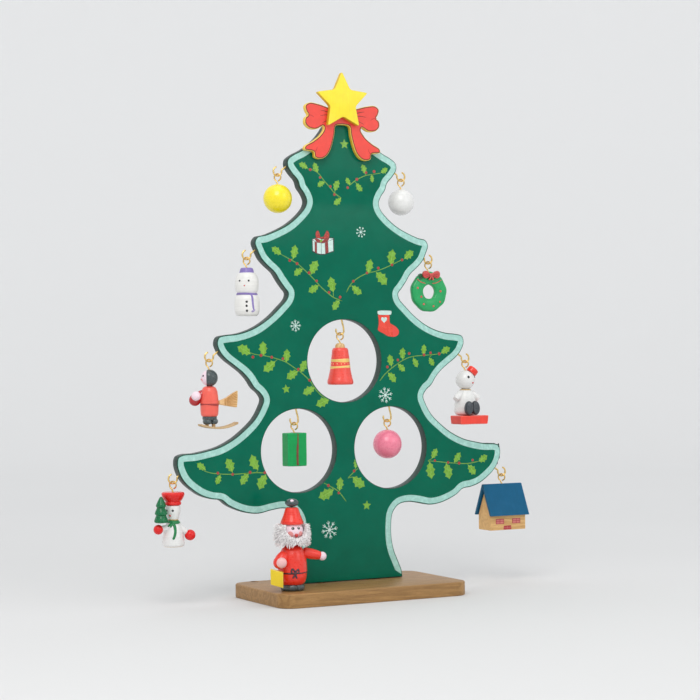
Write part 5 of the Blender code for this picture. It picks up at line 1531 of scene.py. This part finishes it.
ribbon_on(neck_profile, [(-30, -16.6), (-44, -17.5), (-56, -18.3), (-64, -18.9)], 1.4, 0.42, 0.35, (1.2, 0.75), 8, scarf)
ribbon_on(neck_profile, [(-28, -16.8), (-36, -18.0), (-42, -19.4)], 1.2, 0.46, 0.35, (1.1, 0.8), 8, scarf)
drop_at(scarf, *on_turned(neck_profile, -26, -16.8), 1.15, 0.85)
orn("tall_snowman_scarf_visual", scarf, M["scarf"], "tall_snowman", "paint_green", stands_for=("tall_snowman_scarf",))

# Snowman on a sled
seat_head = [(0, 0)] + [(5.8 * math.sin(a), -5.8 + 5.8 * math.cos(a)) for a in np.linspace(0.17, math.pi - 0.22, 48)] + [(0, -11.55)]
orn("sled_snowman_head_visual", uneven(lathe(bored_top(seat_head), 68), 0.05, 0.35, 21), M["pearl"], "sled_snowman", "paint_white", stands_for=("sled_snowman_head",))
cap_way = Vector((0.646, -0.114, 0.755)).normalized()
beret = lathe(fine(turned([(0, 1.75), (2.7, 1.75), (3.15, 1.4), (3.3, 0.4), (3.3, -1.2), (3.2, -1.75), (0, -1.75)], 0.4), 0.5), 56)
quat = cap_way.to_track_quat("Z", "Y").to_matrix().to_4x4()
bmesh.ops.transform(beret, matrix=Matrix.Translation(Vector((0, 0, -5.8)) + cap_way * 7.15) @ quat, verts=beret.verts)
orn("sled_snowman_cap", beret, M["red"], "sled_snowman", "paint_red")
torso = turned([(0, -11.6), (3.1, -11.65), (4.1, -12.3), (4.9, -13.8), (5.6, -16.2), (6.3, -19.2), (6.9, -22.2), (6.95, -24.6), (6.5, -26.1), (5.4, -26.8), (0, -26.88)], 0.6)
orn("sled_snowman_body_visual", uneven(lathe(fine(torso), 72), 0.06, 0.3, 22), M["pearl"], "sled_snowman", "paint_white", stands_for=("sled_snowman_body",))
orn("sled_snowman_neck", band([(3.6, -12.2), (3.1, -11.7), (3.0, -11.3), (3.6, -10.8)], -11.65, 0.7, 0.25, (0.05, 2, 0.4)), M["collar"], "sled_snowman", "raw_wood")
arms = bmesh.new()
for x in (-1, 1):
    join(arms, limb((3.6 * x, -0.5, -13.8), (8.0 * x, -1.8, -17.4), 2.2, 1.95, 32))
orn("sled_snowman_arms", arms, M["pearl"], "sled_snowman", "paint_white")
boots = bmesh.new()
for x, y, z, tilt in ((-3.3, -9.1, -22.5, 6), (1.3, -9.1, -22.45, -5)):
    boot = ball(2.65, 3.0, 4.25, (0, 0, 0), 36, 24, 0.03, 0.3, int(x * 10) + 60)
    for v in boot.verts:
        if v.co.y < -1.9:
            v.co.y = -1.9 + (v.co.y + 1.9) * 0.35
    bmesh.ops.transform(boot, matrix=Matrix.Translation((x, y, z)) @ Matrix.Rotation(math.radians(tilt), 4, "Y"), verts=boot.verts)
    join(boots, boot)
orn("sled_snowman_boots_visual", boots, M["boot"], "sled_snowman", "paint_dark", stands_for=("sled_snowman_boots",))
sled_bm = box_of(19.6, 12.0, 5.1, (0, -4.3, -29.55), 0.55, 4, 9, 0.06, 23)
for v in sled_bm.verts:
    v.co.x *= 1.0 - 0.06 * min(1.0, max(0.0, (-27.0 - v.co.z) / 5.1)) ** 1.4
orn("sled_visual", sled_bm, M["sled"], "sled_snowman", "paint_red", stands_for=("sled",), sharp=45)
S_AZ = 24.0
orn("sled_snowman_eyes", dots_on(seat_head, ((S_AZ - 34, -4.0), (S_AZ + 34, -4.0)), 0.8, 0.35), M["black"], "sled_snowman", "paint_dark")
orn("sled_snowman_nose", dots_on(seat_head, ((S_AZ, -7.5),), 0.62, 0.4), M["nose"], "sled_snowman", "paint_red")

# Wreath: a ring of half-round section whose rim is faintly scalloped
wreath_bm = bmesh.new()
rings = []
count = 120
for i in range(count):
    a = math.tau * i / count
    k = 0.22 * math.sin(9 * a + 0.5) + 0.10 * math.sin(4 * a + 2.0)
    r_in, r_out = 4.15 + 0.06 * math.sin(5 * a), 12.0 - 0.12 + k * 0.8
    section = []
    mid, half_w = (r_in + r_out) / 2, (r_out - r_in) / 2
    for t in np.linspace(0, math.tau, 28, endpoint=False):
        c, s = math.cos(t), math.sin(t)
        u = math.copysign(abs(c) ** 0.55, c)
        w = math.copysign(abs(s) ** 0.7, s)
        section.append((mid + half_w * u, w * (2.3 + 0.05 * math.sin(7 * a))))
    rings.append([wreath_bm.verts.new((r * math.cos(a), -w, r * math.sin(a))) for r, w in section])
for i in range(count):
    stitch(wreath_bm, rings[i], rings[(i + 1) % count])
orn("wreath_visual", wreath_bm, M["wreath"], "wreath", "paint_green", (0, 0, -12.0), stands_for=("wreath",))


def on_wreath(shapes, name, mat, lift=0.16, slot="paint_red"):
    return orn(name, sheet_of(shapes, -2.3 - lift, -2.0), M[mat], "wreath", slot, (0, 0, -12.0), weld=0)


def ring_arc(a0, a1, r0, r1, width, dip=0.0):
    pts = []
    for k in np.linspace(0, 1, 8):
        a = math.radians(a0 + (a1 - a0) * k)
        r = r0 + (r1 - r0) * k - dip * math.sin(math.pi * k)
        pts.append((r * math.cos(a), r * math.sin(a)))
    return stroke(pts, width, (0.8, 0.8), 4)


spots = [(-8.6, 2.2), (-6.2, -3.0), (-4.6, -7.4), (2.0, -8.6), (6.6, -6.0), (7.0, 0.3)]
on_wreath([circle(x, z, 0.62 * rand.uniform(0.9, 1.1), 16) for x, z in spots], "wreath_berries", "wreath_red", 0.2)
swag = [stroke(spread([(-8.9, 7.5), (-6.2, 5.7), (-3.2, 4.9)], 5), 0.5, (0.8, 0.8)), stroke(spread([(1.5, 4.9), (4.5, 5.4), (7.7, 7.1)], 5), 0.5, (0.8, 0.8))]
on_wreath(swag, "wreath_garland", "wreath_red", 0.14)
bow_half = spread([(0, -1.45), (1.2, -1.0), (2.6, 0.0), (4.2, 0.35), (5.5, -0.4), (5.8, -2.0), (5.1, -3.6), (3.8, -4.1), (2.4, -3.7), (1.2, -2.85), (0, -2.7)], 5)
bow_bm = slab(soften(mirrored(bow_half), 0.3, 2), 1.6, (), 0.3, 3)
for tail in ([(-0.2, -2.6), (-0.9, -4.2), (-1.5, -5.0)], [(0.3, -2.6), (0.9, -4.0), (1.2, -5.2)]):
    join(bow_bm, slab(ccw(stroke(tail, 0.8, (1.0, 1.2))), 1.3, (), 0.12, 2))
join(bow_bm, ball(1.0, 1.25, 1.05, (0, 0, -2.1), 24, 16, 0.03, 0.3, 71))
orn("wreath_bow_visual", bow_bm, M["wreath_red"], "wreath", "paint_red", (0, -3.5, 0), stands_for=("wreath_bow",), sharp=45)
lines = [stroke([(1.2, -1.9), (2.6, -1.6), (4.0, -1.9)], 0.3, (1, 0.4)), stroke([(-1.2, -1.9), (-2.6, -1.6), (-4.0, -1.9)], 0.3, (1, 0.4)),
         stroke([(1.2, -2.3), (2.4, -2.7), (3.6, -3.2)], 0.3, (1, 0.4)), stroke([(-1.2, -2.3), (-2.4, -2.7), (-3.6, -3.2)], 0.3, (1, 0.4))]
orn("wreath_bow_folds", sheet_of(lines, -0.87, -0.7), M["ink_dark_red"], "wreath", "paint_red", (0, -3.5, 0), weld=0)
M["wreath_leaf"] = paint("paint_wreath_leaf", srgb(20, 92, 56), 0.36, 0.2, 0.14, "X", None, 0.2, 52.0)
leaf_edge, leaf_rib = leaf((-5.0, -3.4), (-8.0, -1.7), 0.75)
orn("wreath_leaf", sheet_of([leaf_edge, leaf((-5.2, -4.0), (-7.6, -4.4), 0.6)[0]], -2.55, -1.6), M["wreath_leaf"], "wreath", "paint_green", weld=0)

# House: a gabled block under a steep roof of two slopes
RIDGE, EAVE, SIDE, DEEP, OVER = 0.0, -18.8, 24.8, 8.2, 27.4
SLOPE = (DEEP + 1.4) / (RIDGE - EAVE)
roof_t = 1.9
roof_under = RIDGE - roof_t / SLOPE * 0.78


def gabled(width, points, ease=0.3, cuts=10, lift=0.0, seed=0):
    """A prism along X with an eased gable outline of (y, z) points."""
    line = soften(ccw(points), ease, 3, least=12)
    bm = slab(line, width, (), min(0.35, ease), 3)
    # slab() builds in XZ with its thickness along Y; turned about Z the outline lies in YZ
    bmesh.ops.rotate(bm, cent=(0, 0, 0), matrix=Matrix.Rotation(math.radians(90), 3, "Z"), verts=bm.verts)
    return bm


roof_bm = gabled(OVER, [(-0.9, RIDGE), (0.9, RIDGE), (DEEP + 1.4, EAVE), (DEEP + 1.4 - roof_t, EAVE), (0, roof_under),
                        (-DEEP - 1.4 + roof_t, EAVE), (-DEEP - 1.4, EAVE)], 0.4)
orn("house_roof_visual", roof_bm, M["roof"], "house", "paint_blue", stands_for=("house_roof",), sharp=35)
inner_top = roof_under - 1.2
wall = DEEP - 1.3
drop_to = inner_top - wall / SLOPE - 0.6
house_bm = gabled(SIDE, [(0.0, inner_top), (wall, drop_to), (wall, -27.6), (-wall, -27.6), (-wall, drop_to)], 0.5)
orn("house_body_visual", house_bm, M["wall"], "house", "raw_wood", stands_for=("house_body",), sharp=35)


def on_wall(shapes, name, mat, lift, slot="paint_red"):
    bm = sheet_of(shapes, -wall - lift, -wall + 0.2)
    return orn(name, bm, M[mat], "house", slot, weld=0)


def pane_block(x0, x1, z0, z1):
    return soften([(x0, z0), (x1, z0), (x1, z1), (x0, z1)], 0.15, 2)


WINDOWS = ((-8.8, -2.9), (2.8, 8.7))
on_wall([pane_block(a, b, -23.9, -20.8) for a, b in WINDOWS], "house_windows", "window", 0.05)
panes = []
for a, b in WINDOWS:
    m = (a + b) / 2
    for x0, x1 in ((a + 0.45, m - 0.2), (m + 0.2, b - 0.45)):
        for z0, z1 in ((-23.55, -22.5), (-22.2, -21.15)):
            panes.append(pane_block(x0, x1, z0, z1))
on_wall(panes, "house_panes", "pane", 0.09)
on_wall([soften([(-3.4, -27.35), (2.2, -27.35), (2.1, -24.9), (-3.1, -25.0)], 0.2, 2)], "house_door", "window", 0.05)
on_wall([stroke([(-0.6, -27.1), (-0.55, -25.2)], 0.25), stroke([(-3.0, -26.15), (1.9, -26.1)], 0.2)], "house_door_lines", "pane", 0.09)

# --- Santa -------------------------------------------------------------------------------------

PEG_R, PEG_LONG = 1.8, 6.0


def san(name, bm, mat, slot, at=(0, 0, 0), turn=None, stands_for=(), sharp=38, weld=1e-4):
    return make(name, bm, mat, "santa", at, turn, slot, stands_for, sharp, weld)


barrel = turned([(0, 25.0), (3.2, 25.0), (4.9, 24.3), (6.3, 22.3), (7.2, 20.0), (7.8, 17.2), (8.05, 14.2), (8.15, 10.8), (7.9, 7.6), (7.3, 5.0), (6.3, 3.5), (5.6, 3.1), (0, 3.1)], 0.6)
san("santa_coat", uneven(lathe(fine(barrel), 84), 0.07, 0.25, 31), M["red"], "paint_red", stands_for=("santa_body",))
feet = bmesh.new()
shoe = turned([(0, 3.6), (5.2, 3.55), (6.3, 3.0), (6.75, 1.9), (6.75, 0.8), (6.3, 0.05), (0, 0.05)], 0.45)
join(feet, lathe(fine(shoe), 72))
for v in feet.verts:
    # a shallow cleft between the two feet, at the front and the back
    if abs(v.co.x) < 1.1 and math.hypot(v.co.x, v.co.y) > 4.0:
        v.co.y *= 1 - 0.13 * (1 - abs(v.co.x) / 1.1)
san("santa_feet", feet, M["slate"], "paint_dark")
peg = turned([(0, 0.4), (PEG_R, 0.4), (PEG_R, -PEG_LONG + 0.6), (PEG_R - 0.5, -PEG_LONG), (0, -PEG_LONG)], 0.3)
san("santa_peg", lathe(fine(peg, 0.8), 40), M["dowel"], "dowel_wood")
waist = band(barrel, 10.1, 0.9, 0.2, (0.25, 1, 0.7))
knot = [(-15, 10.2), (-21, 11.9), (-28, 12.2), (-30, 10.9), (-24, 10.0), (-15, 10.1)]
ribbon_on(barrel, knot, 1.2, 0.36, 0.25, (0.95, 0.85), 6, waist)
ribbon_on(barrel, [(-15, 10.2), (-8, 11.7), (-2, 12.0), (0, 10.9), (-6, 10.1), (-15, 10.0)], 1.2, 0.34, 0.25, (0.95, 0.85), 6, waist)
ribbon_on(barrel, [(-15, 10.0), (-19, 8.6), (-25, 7.3)], 1.3, 0.3, 0.25, (0.9, 0.8), 6, waist)
ribbon_on(barrel, [(-15, 10.0), (-12, 8.5), (-8, 7.1)], 1.3, 0.3, 0.25, (0.9, 0.8), 6, waist)
drop_at(waist, *on_turned(barrel, -15, 10.1), 1.0, 0.45)
san("santa_belt", waist, M["belt"], "paint_dark")
san("santa_arm_right_visual", limb((5.9, -1.4, 20.8), (15.9, -3.45, 18.5), 2.9, 2.3, 40, 0.12, 0.8), M["red"], "paint_red", stands_for=("santa_arm_right",))
san("santa_hand_right", ball(2.45, 2.45, 2.5, (16.9, -3.65, 18.2), 36, 24, 0.03, 0.3, 32), M["skin"], "paint_skin")
sleeve = limb((-5.4, -2.6, 20.9), (-9.2, -3.0, 16.6), 2.7, 3.5, 40, 0.1, 0.8)
join(sleeve, ball(3.6, 3.5, 3.55, (-9.35, -3.0, 16.1), 40, 26, 0.03, 0.3, 39))
san("santa_arm_left_visual", sleeve, M["red"], "paint_red", stands_for=("santa_arm_left",))
san("santa_hand_left", ball(2.9, 2.85, 2.95, (-9.8, -6.6, 16.2), 40, 26, 0.04, 0.3, 33), M["hand"], "paint_skin")
bag_bm = box_of(7.0, 4.0, 8.6, (0, 0, 0), 0.45, 4, 7, 0.1, 34)
for v in bag_bm.verts:
    v.co.z -= 0.3 * v.co.x
san("santa_bag_visual", bag_bm, M["bag"], "paint_yellow", (-12.1, -5.1, 7.7), (0, 0, -28), stands_for=("santa_bag",), sharp=50)
SKULL_Z = 32.6
skull = [(0, SKULL_Z + 6.4)] + [(6.4 * math.sin(a), SKULL_Z + 6.4 * math.cos(a)) for a in np.linspace(0.2, math.pi - 0.4, 44)] + [(2.4, 25.3), (0, 25.3)]
san("santa_head_visual", uneven(lathe(skull, 64), 0.05, 0.35, 35), M["skin"], "paint_skin", stands_for=("santa_head",))
F_AZ = -5.0
SKULL_C = Vector((0, 0, SKULL_Z))


def on_skull(az, z, r=6.38):
    e = math.asin(max(-1, min(1, (z - SKULL_Z) / r)))
    d = aim(az, math.degrees(e))
    return SKULL_C + d * r, d


eyes = bmesh.new()
for az in (F_AZ - 16.5, F_AZ + 16.5):
    drop_at(eyes, *on_skull(az, 34.8), 0.85, 0.3)
san("santa_eyes", eyes, M["black"], "paint_dark")
glint = bmesh.new()
for az in (F_AZ - 18.5, F_AZ + 14.5):
    drop_at(glint, *on_skull(az, 35.0, 6.62), 0.26, 0.1)
san("santa_eye_glints", glint, M["pearl"], "paint_white")
nose = ball(1.05, 1.2, 1.05, tuple(on_skull(F_AZ, 30.9, 6.9)[0]), 28, 18, 0.02, 0.3, 36)
san("santa_nose", nose, M["nose"], "paint_red")
cheeks = bmesh.new()
for az, z, r in ((F_AZ - 30, 31.4, 1.8), (F_AZ + 27, 31.6, 1.5)):
    drop_at(cheeks, *on_skull(az, z), r, 0.1)
san("santa_cheeks", cheeks, M["blush"], "paint_skin")

# Fleece: a lumpy ring round the head, open at the face, covered by short curled strands
FACE_C, FACE_R = Vector((-0.4, -9.0, 35.3)), Vector((7.1, 8.0, 6.1))
FUR_R, FUR_W, FUR_Z, FUR_H = 7.95, 1.35, 30.9, 5.4
local = np.random.RandomState(91)
waves = [(local.normal(0, 0.55, 3), local.uniform(0, 6.28)) for _ in range(9)]


def lump(p):
    return sum(math.sin(w[0] * p.x + w[1] * p.y + w[2] * p.z + ph) for w, ph in waves) / 9


def in_opening(p):
    return math.sqrt(sum(((p[i] - FACE_C[i]) / FACE_R[i]) ** 2 for i in range(3)))


def carved(body, cutter):
    """The exact difference of two closed meshes, as a new mesh."""
    made = []
    for k, bm in enumerate((body, cutter)):
        data = bpy.data.meshes.new(f"carving_{k}")
        bmesh.ops.recalc_face_normals(bm, faces=bm.faces)
        bm.to_mesh(data)
        bm.free()
        piece = bpy.data.objects.new(f"carving_{k}", data)
        bpy.context.scene.collection.objects.link(piece)
        made.append(piece)
    cut = made[0].modifiers.new("carve", "BOOLEAN")
    cut.operation, cut.solver, cut.object = "DIFFERENCE", "EXACT", made[1]
    shaped = made[0].evaluated_get(bpy.context.evaluated_depsgraph_get())
    out = bmesh.new()
    out.from_mesh(shaped.to_mesh())
    shaped.to_mesh_clear()
    for piece in made:
        data = piece.data
        bpy.data.objects.remove(piece, do_unlink=True)
        bpy.data.meshes.remove(data)
    return out


core = lathe([(FUR_R + FUR_W * math.cos(a), FUR_Z + FUR_H * math.sin(a)) for a in np.linspace(0, math.tau, 28, endpoint=False)], 84, closed=True)
for v in core.verts:
    a = math.atan2(v.co.y, v.co.x)
    mid = Vector((FUR_R * math.cos(a), FUR_R * math.sin(a), FUR_Z))
    grown = mid + (v.co - mid) * (1 + 0.16 * lump(v.co))
    near = math.hypot(grown.x, grown.y)
    if near < 6.7:
        grown.x, grown.y = grown.x / near * 6.7, grown.y / near * 6.7
    v.co = grown
opening = ball(FACE_R.x, FACE_R.y, FACE_R.z, tuple(FACE_C), 64, 40, 0.02, 0.3, 92)
core = carved(core, opening)
bmesh.ops.triangulate(core, faces=core.faces)
core.faces.ensure_lookup_table()
core.normal_update()
sizes = np.array([f.calc_area() for f in core.faces])
picks = local.choice(len(sizes), 2300, p=sizes / sizes.sum())
roots = []
for index in picks:
    f = core.faces[int(index)]
    u, w = sorted(local.uniform(0, 1, 2))
    a, b, c = (q.co for q in f.verts)
    roots.append((a * u + b * (w - u) + c * (1 - w), f.normal.copy()))
san("santa_beard_visual", core, M["fur"], "fleece", stands_for=("santa_beard",), sharp=180)
strands = bmesh.new()
tone_and_root_shade = strands.verts.layers.float.new("tone")
for spot, n in roots:
    radial = Vector((spot.x, spot.y, 0)).normalized()
    inside = in_opening(spot) < 1.04
    from_axis = math.hypot(spot.x, spot.y)
    if not inside and n.dot(radial) < -0.3:
        continue
    if spot.z > 36.0 and from_axis < 7.4 and spot.y < 2:
        continue
    away = Vector((spot.x - FACE_C.x, 0, spot.z - FACE_C.z)).normalized()
    if inside:
        if from_axis < 7.3 and n.dot(radial) < -0.2:
            continue
        n = (away * 0.75 + radial * 0.45 + n * 0.15).normalized()
    elif spot.y < -2:
        n = (n + away * 0.3 + Vector((0, 0, -0.2))).normalized()
    root = spot - n * 0.25
    long = local.uniform(1.0, 2.3) * (0.7 if inside else 1.0) * (1.15 if spot.z < 28 else 1.0)
    lean = Vector(local.normal(0, 0.42, 3)) + Vector((0, 0, -0.35))
    way = (n + lean * (0.45 if inside else 0.75)).normalized()
    curl = Vector(local.normal(0, 0.5, 3)) + Vector((0, 0, -0.3))
    r0 = local.uniform(0.2, 0.32)
    pts, rad = [], []
    p = root.copy()
    for k in range(5):
        pts.append(p.copy())
        rad.append(r0 * (1, 1.05, 0.9, 0.62, 0.24)[k])
        way = (way + curl * 0.16 * k / 4).normalized()
        p = p + way * long / 4
    side_v = way.orthogonal().normalized()
    shade_of = local.uniform(0, 1)
    rings = []
    for k, (q, r) in enumerate(zip(pts, rad)):
        ahead = (pts[min(k + 1, 4)] - pts[max(k - 1, 0)]).normalized()
        side_v = (side_v - ahead * side_v.dot(ahead)).normalized()
        up_v = ahead.cross(side_v)
        ring = [strands.verts.new(q + (side_v * math.cos(b) + up_v * math.sin(b)) * r) for b in (0, 1.2566, 2.5133, 3.7699, 5.0265)]
        # A random tone for the strand that rises from root to tip: the darker roots are painted shade.
        for v in ring:
            v[tone_and_root_shade] = min(1.0, shade_of * 0.6 + 0.4 * k / 4)
        rings.append(ring)
    for u, w in zip(rings, rings[1:]):
        stitch(strands, u, w)
    strands.faces.new(list(reversed(rings[0])))
    strands.faces.new(rings[-1])
san("santa_beard_strands", strands, M["fur"], "fleece", sharp=180, weld=0)

hat_line = turned([(0, 46.1), (3.0, 46.1), (3.6, 45.5), (4.15, 43.8), (4.75, 41.9), (5.5, 40.0), (6.15, 38.6), (6.5, 37.5), (6.4, 36.85), (5.95, 36.65), (5.4, 36.75)], 0.4)
inner_line = [(6.7 * math.cos(math.radians(b)), SKULL_Z + 6.7 * math.sin(math.radians(b))) for b in np.linspace(40, 84, 12)]
san("santa_hat_visual", uneven(lathe(fine(hat_line) + inner_line + [(0, SKULL_Z + 6.7)], 76), 0.06, 0.3, 37), M["red"], "paint_red", stands_for=("santa_hat",))
rims = bmesh.new()
for z, wide in ((38.1, 0.5), (42.3, 0.3), (43.6, 0.25)):
    join(rims, band(hat_line, z, wide, 0.07, (0.1, 2, z)))
san("santa_hat_rims", rims, M["red_bright"], "paint_red")
puff = ball(3.85, 3.85, 2.3, (0, 0, 48.6), 52, 32, 0.035, 0.3, 38)
san("santa_pompom_visual", puff, M["slate"], "paint_dark", stands_for=("santa_pompom",))
# A pale drop on the front of the pompom: a painted highlight.
pompom_highlight = bmesh.new()
pompom_highlight_at = Vector((0, 0, 48.65)) + Vector((aim(-24, 0).x * 2.9, aim(-24, 0).y * 2.9, 1.4))
drop_at(pompom_highlight, pompom_highlight_at, (pompom_highlight_at - Vector((0, 0, 47.0))).normalized(), 0.95, 0.22)
san("santa_pompom_painted_highlight", pompom_highlight, M["skin"], "paint_skin")

# --- Floor, lights and camera --------------------------------------------------------------------

look = Look("stage_paper")
here = look.where((0.001, 0.001, 0.001))
flat = look.put("ShaderNodeVectorMath", {0: here, 1: (1.0, 1.0, 0.0)}, operation="MULTIPLY").outputs[0]
reach = look.put("ShaderNodeVectorMath", {0: flat}, operation="LENGTH").outputs["Value"]
# The paper is painted darker round the middle and lighter out towards the walls: painted shade and painted light.
paper_painted_light_and_shade = look.ramp(look.sum("MULTIPLY", reach, 0.4), [(0.12, srgb(222, 222, 222)), (0.35, srgb(228, 228, 228)), (0.8, srgb(240, 240, 240)), (1.0, srgb(246, 246, 246))])
paper_painted_light_and_shade = look.mix(look.ramp(look.noise(here, 3.0, 2, 0.5), [(0.3, 0.0), (0.7, 0.05)]), paper_painted_light_and_shade, srgb(250, 250, 250))
look.relief(look.noise(look.where(), 0.8, 2, 0.5), 0.04, 0.02)
paper = look.finish(paper_painted_light_and_shade, 0.85, level=0.1)

bowl_bm = bmesh.new()
R, BEND, HIGH, SEG = 2.6, 1.3, 1.6, 96
profile = [(0.0, 0.0)] + [(r, 0.0) for r in (0.3, 0.7, R - BEND)]
profile += [(R - BEND + BEND * math.sin(a), BEND - BEND * math.cos(a)) for a in np.linspace(0.06, math.pi / 2, 22)] + [(R, HIGH)]
rings = []
for r, z in profile:
    if r == 0:
        rings.append([bowl_bm.verts.new((0, 0, 0))])
    else:
        rings.append([bowl_bm.verts.new((r * math.cos(a), r * math.sin(a), z)) for a in np.linspace(0, math.tau, SEG, endpoint=False)])
for i in range(SEG):
    bowl_bm.faces.new((rings[0][0], rings[1][i], rings[1][(i + 1) % SEG]))
for a, b in zip(rings[1:], rings[2:]):
    for i in range(SEG):
        j = (i + 1) % SEG
        bowl_bm.faces.new((a[i], b[i], b[j], a[j]))
bmesh.ops.recalc_face_normals(bowl_bm, faces=bowl_bm.faces)
mesh = bpy.data.meshes.new("stage_bowl")
bowl_bm.to_mesh(mesh)
bowl_bm.free()
mesh.shade_smooth()
mesh.materials.append(paper)
bowl = bpy.data.objects.new("stage_bowl", mesh)
bpy.context.scene.collection.objects.link(bowl)
bowl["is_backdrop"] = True

world = bpy.data.worlds.new("studio")
bpy.context.scene.world = world
world.use_nodes = True
world.node_tree.nodes["Background"].inputs["Color"].default_value = (0.97, 0.985, 1.0, 1)
world.node_tree.nodes["Background"].inputs["Strength"].default_value = 0.8


def lamp(name, at, to, size, power, colour=(1, 1, 1)):
    light = bpy.data.lights.new(name, "AREA")
    light.shape = "RECTANGLE"
    light.size, light.size_y = size
    light.energy = power
    light.color = colour
    obj = bpy.data.objects.new(name, light)
    bpy.context.scene.collection.objects.link(obj)
    obj.location = at
    obj.rotation_euler = (Vector(to) - Vector(at)).to_track_quat("-Z", "Y").to_euler()
    return obj


lamp("key", (-0.4, -0.55, 0.78), (0, 0, 0.34), (0.45, 0.45), 2.6, (1.0, 0.985, 0.96))
lamp("softbox", (0.72, -1.36, 0.78), (0, 0, 0.22), (0.8, 0.75), 2.4, (0.97, 0.985, 1.0))
lamp("top", (0.0, 0.1, 2.6), (0, 0.1, 0), (2.2, 2.2), 9)

camera_data = bpy.data.cameras.new("camera")
camera_data.lens = 100.85
camera_data.sensor_width = 36.0
camera_data.shift_x = -2 / 700
camera_data.clip_start = 0.02
camera = bpy.data.objects.new("camera", camera_data)
bpy.context.scene.collection.objects.link(camera)
right, up, back = (0.8827443, -0.4697361, -0.0105102), (0.0086361, -0.0061441, 0.9999438), (-0.4697743, -0.8827855, -0.0013669)
camera.matrix_world = Matrix([
    (right[0], up[0], back[0], -0.530083), (right[1], up[1], back[1], -1.008210), (right[2], up[2], back[2], 0.140381), (0, 0, 0, 1),
])
bpy.context.scene.camera = camera
bpy.context.scene.view_settings.view_transform = "Standard"

low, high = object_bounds()
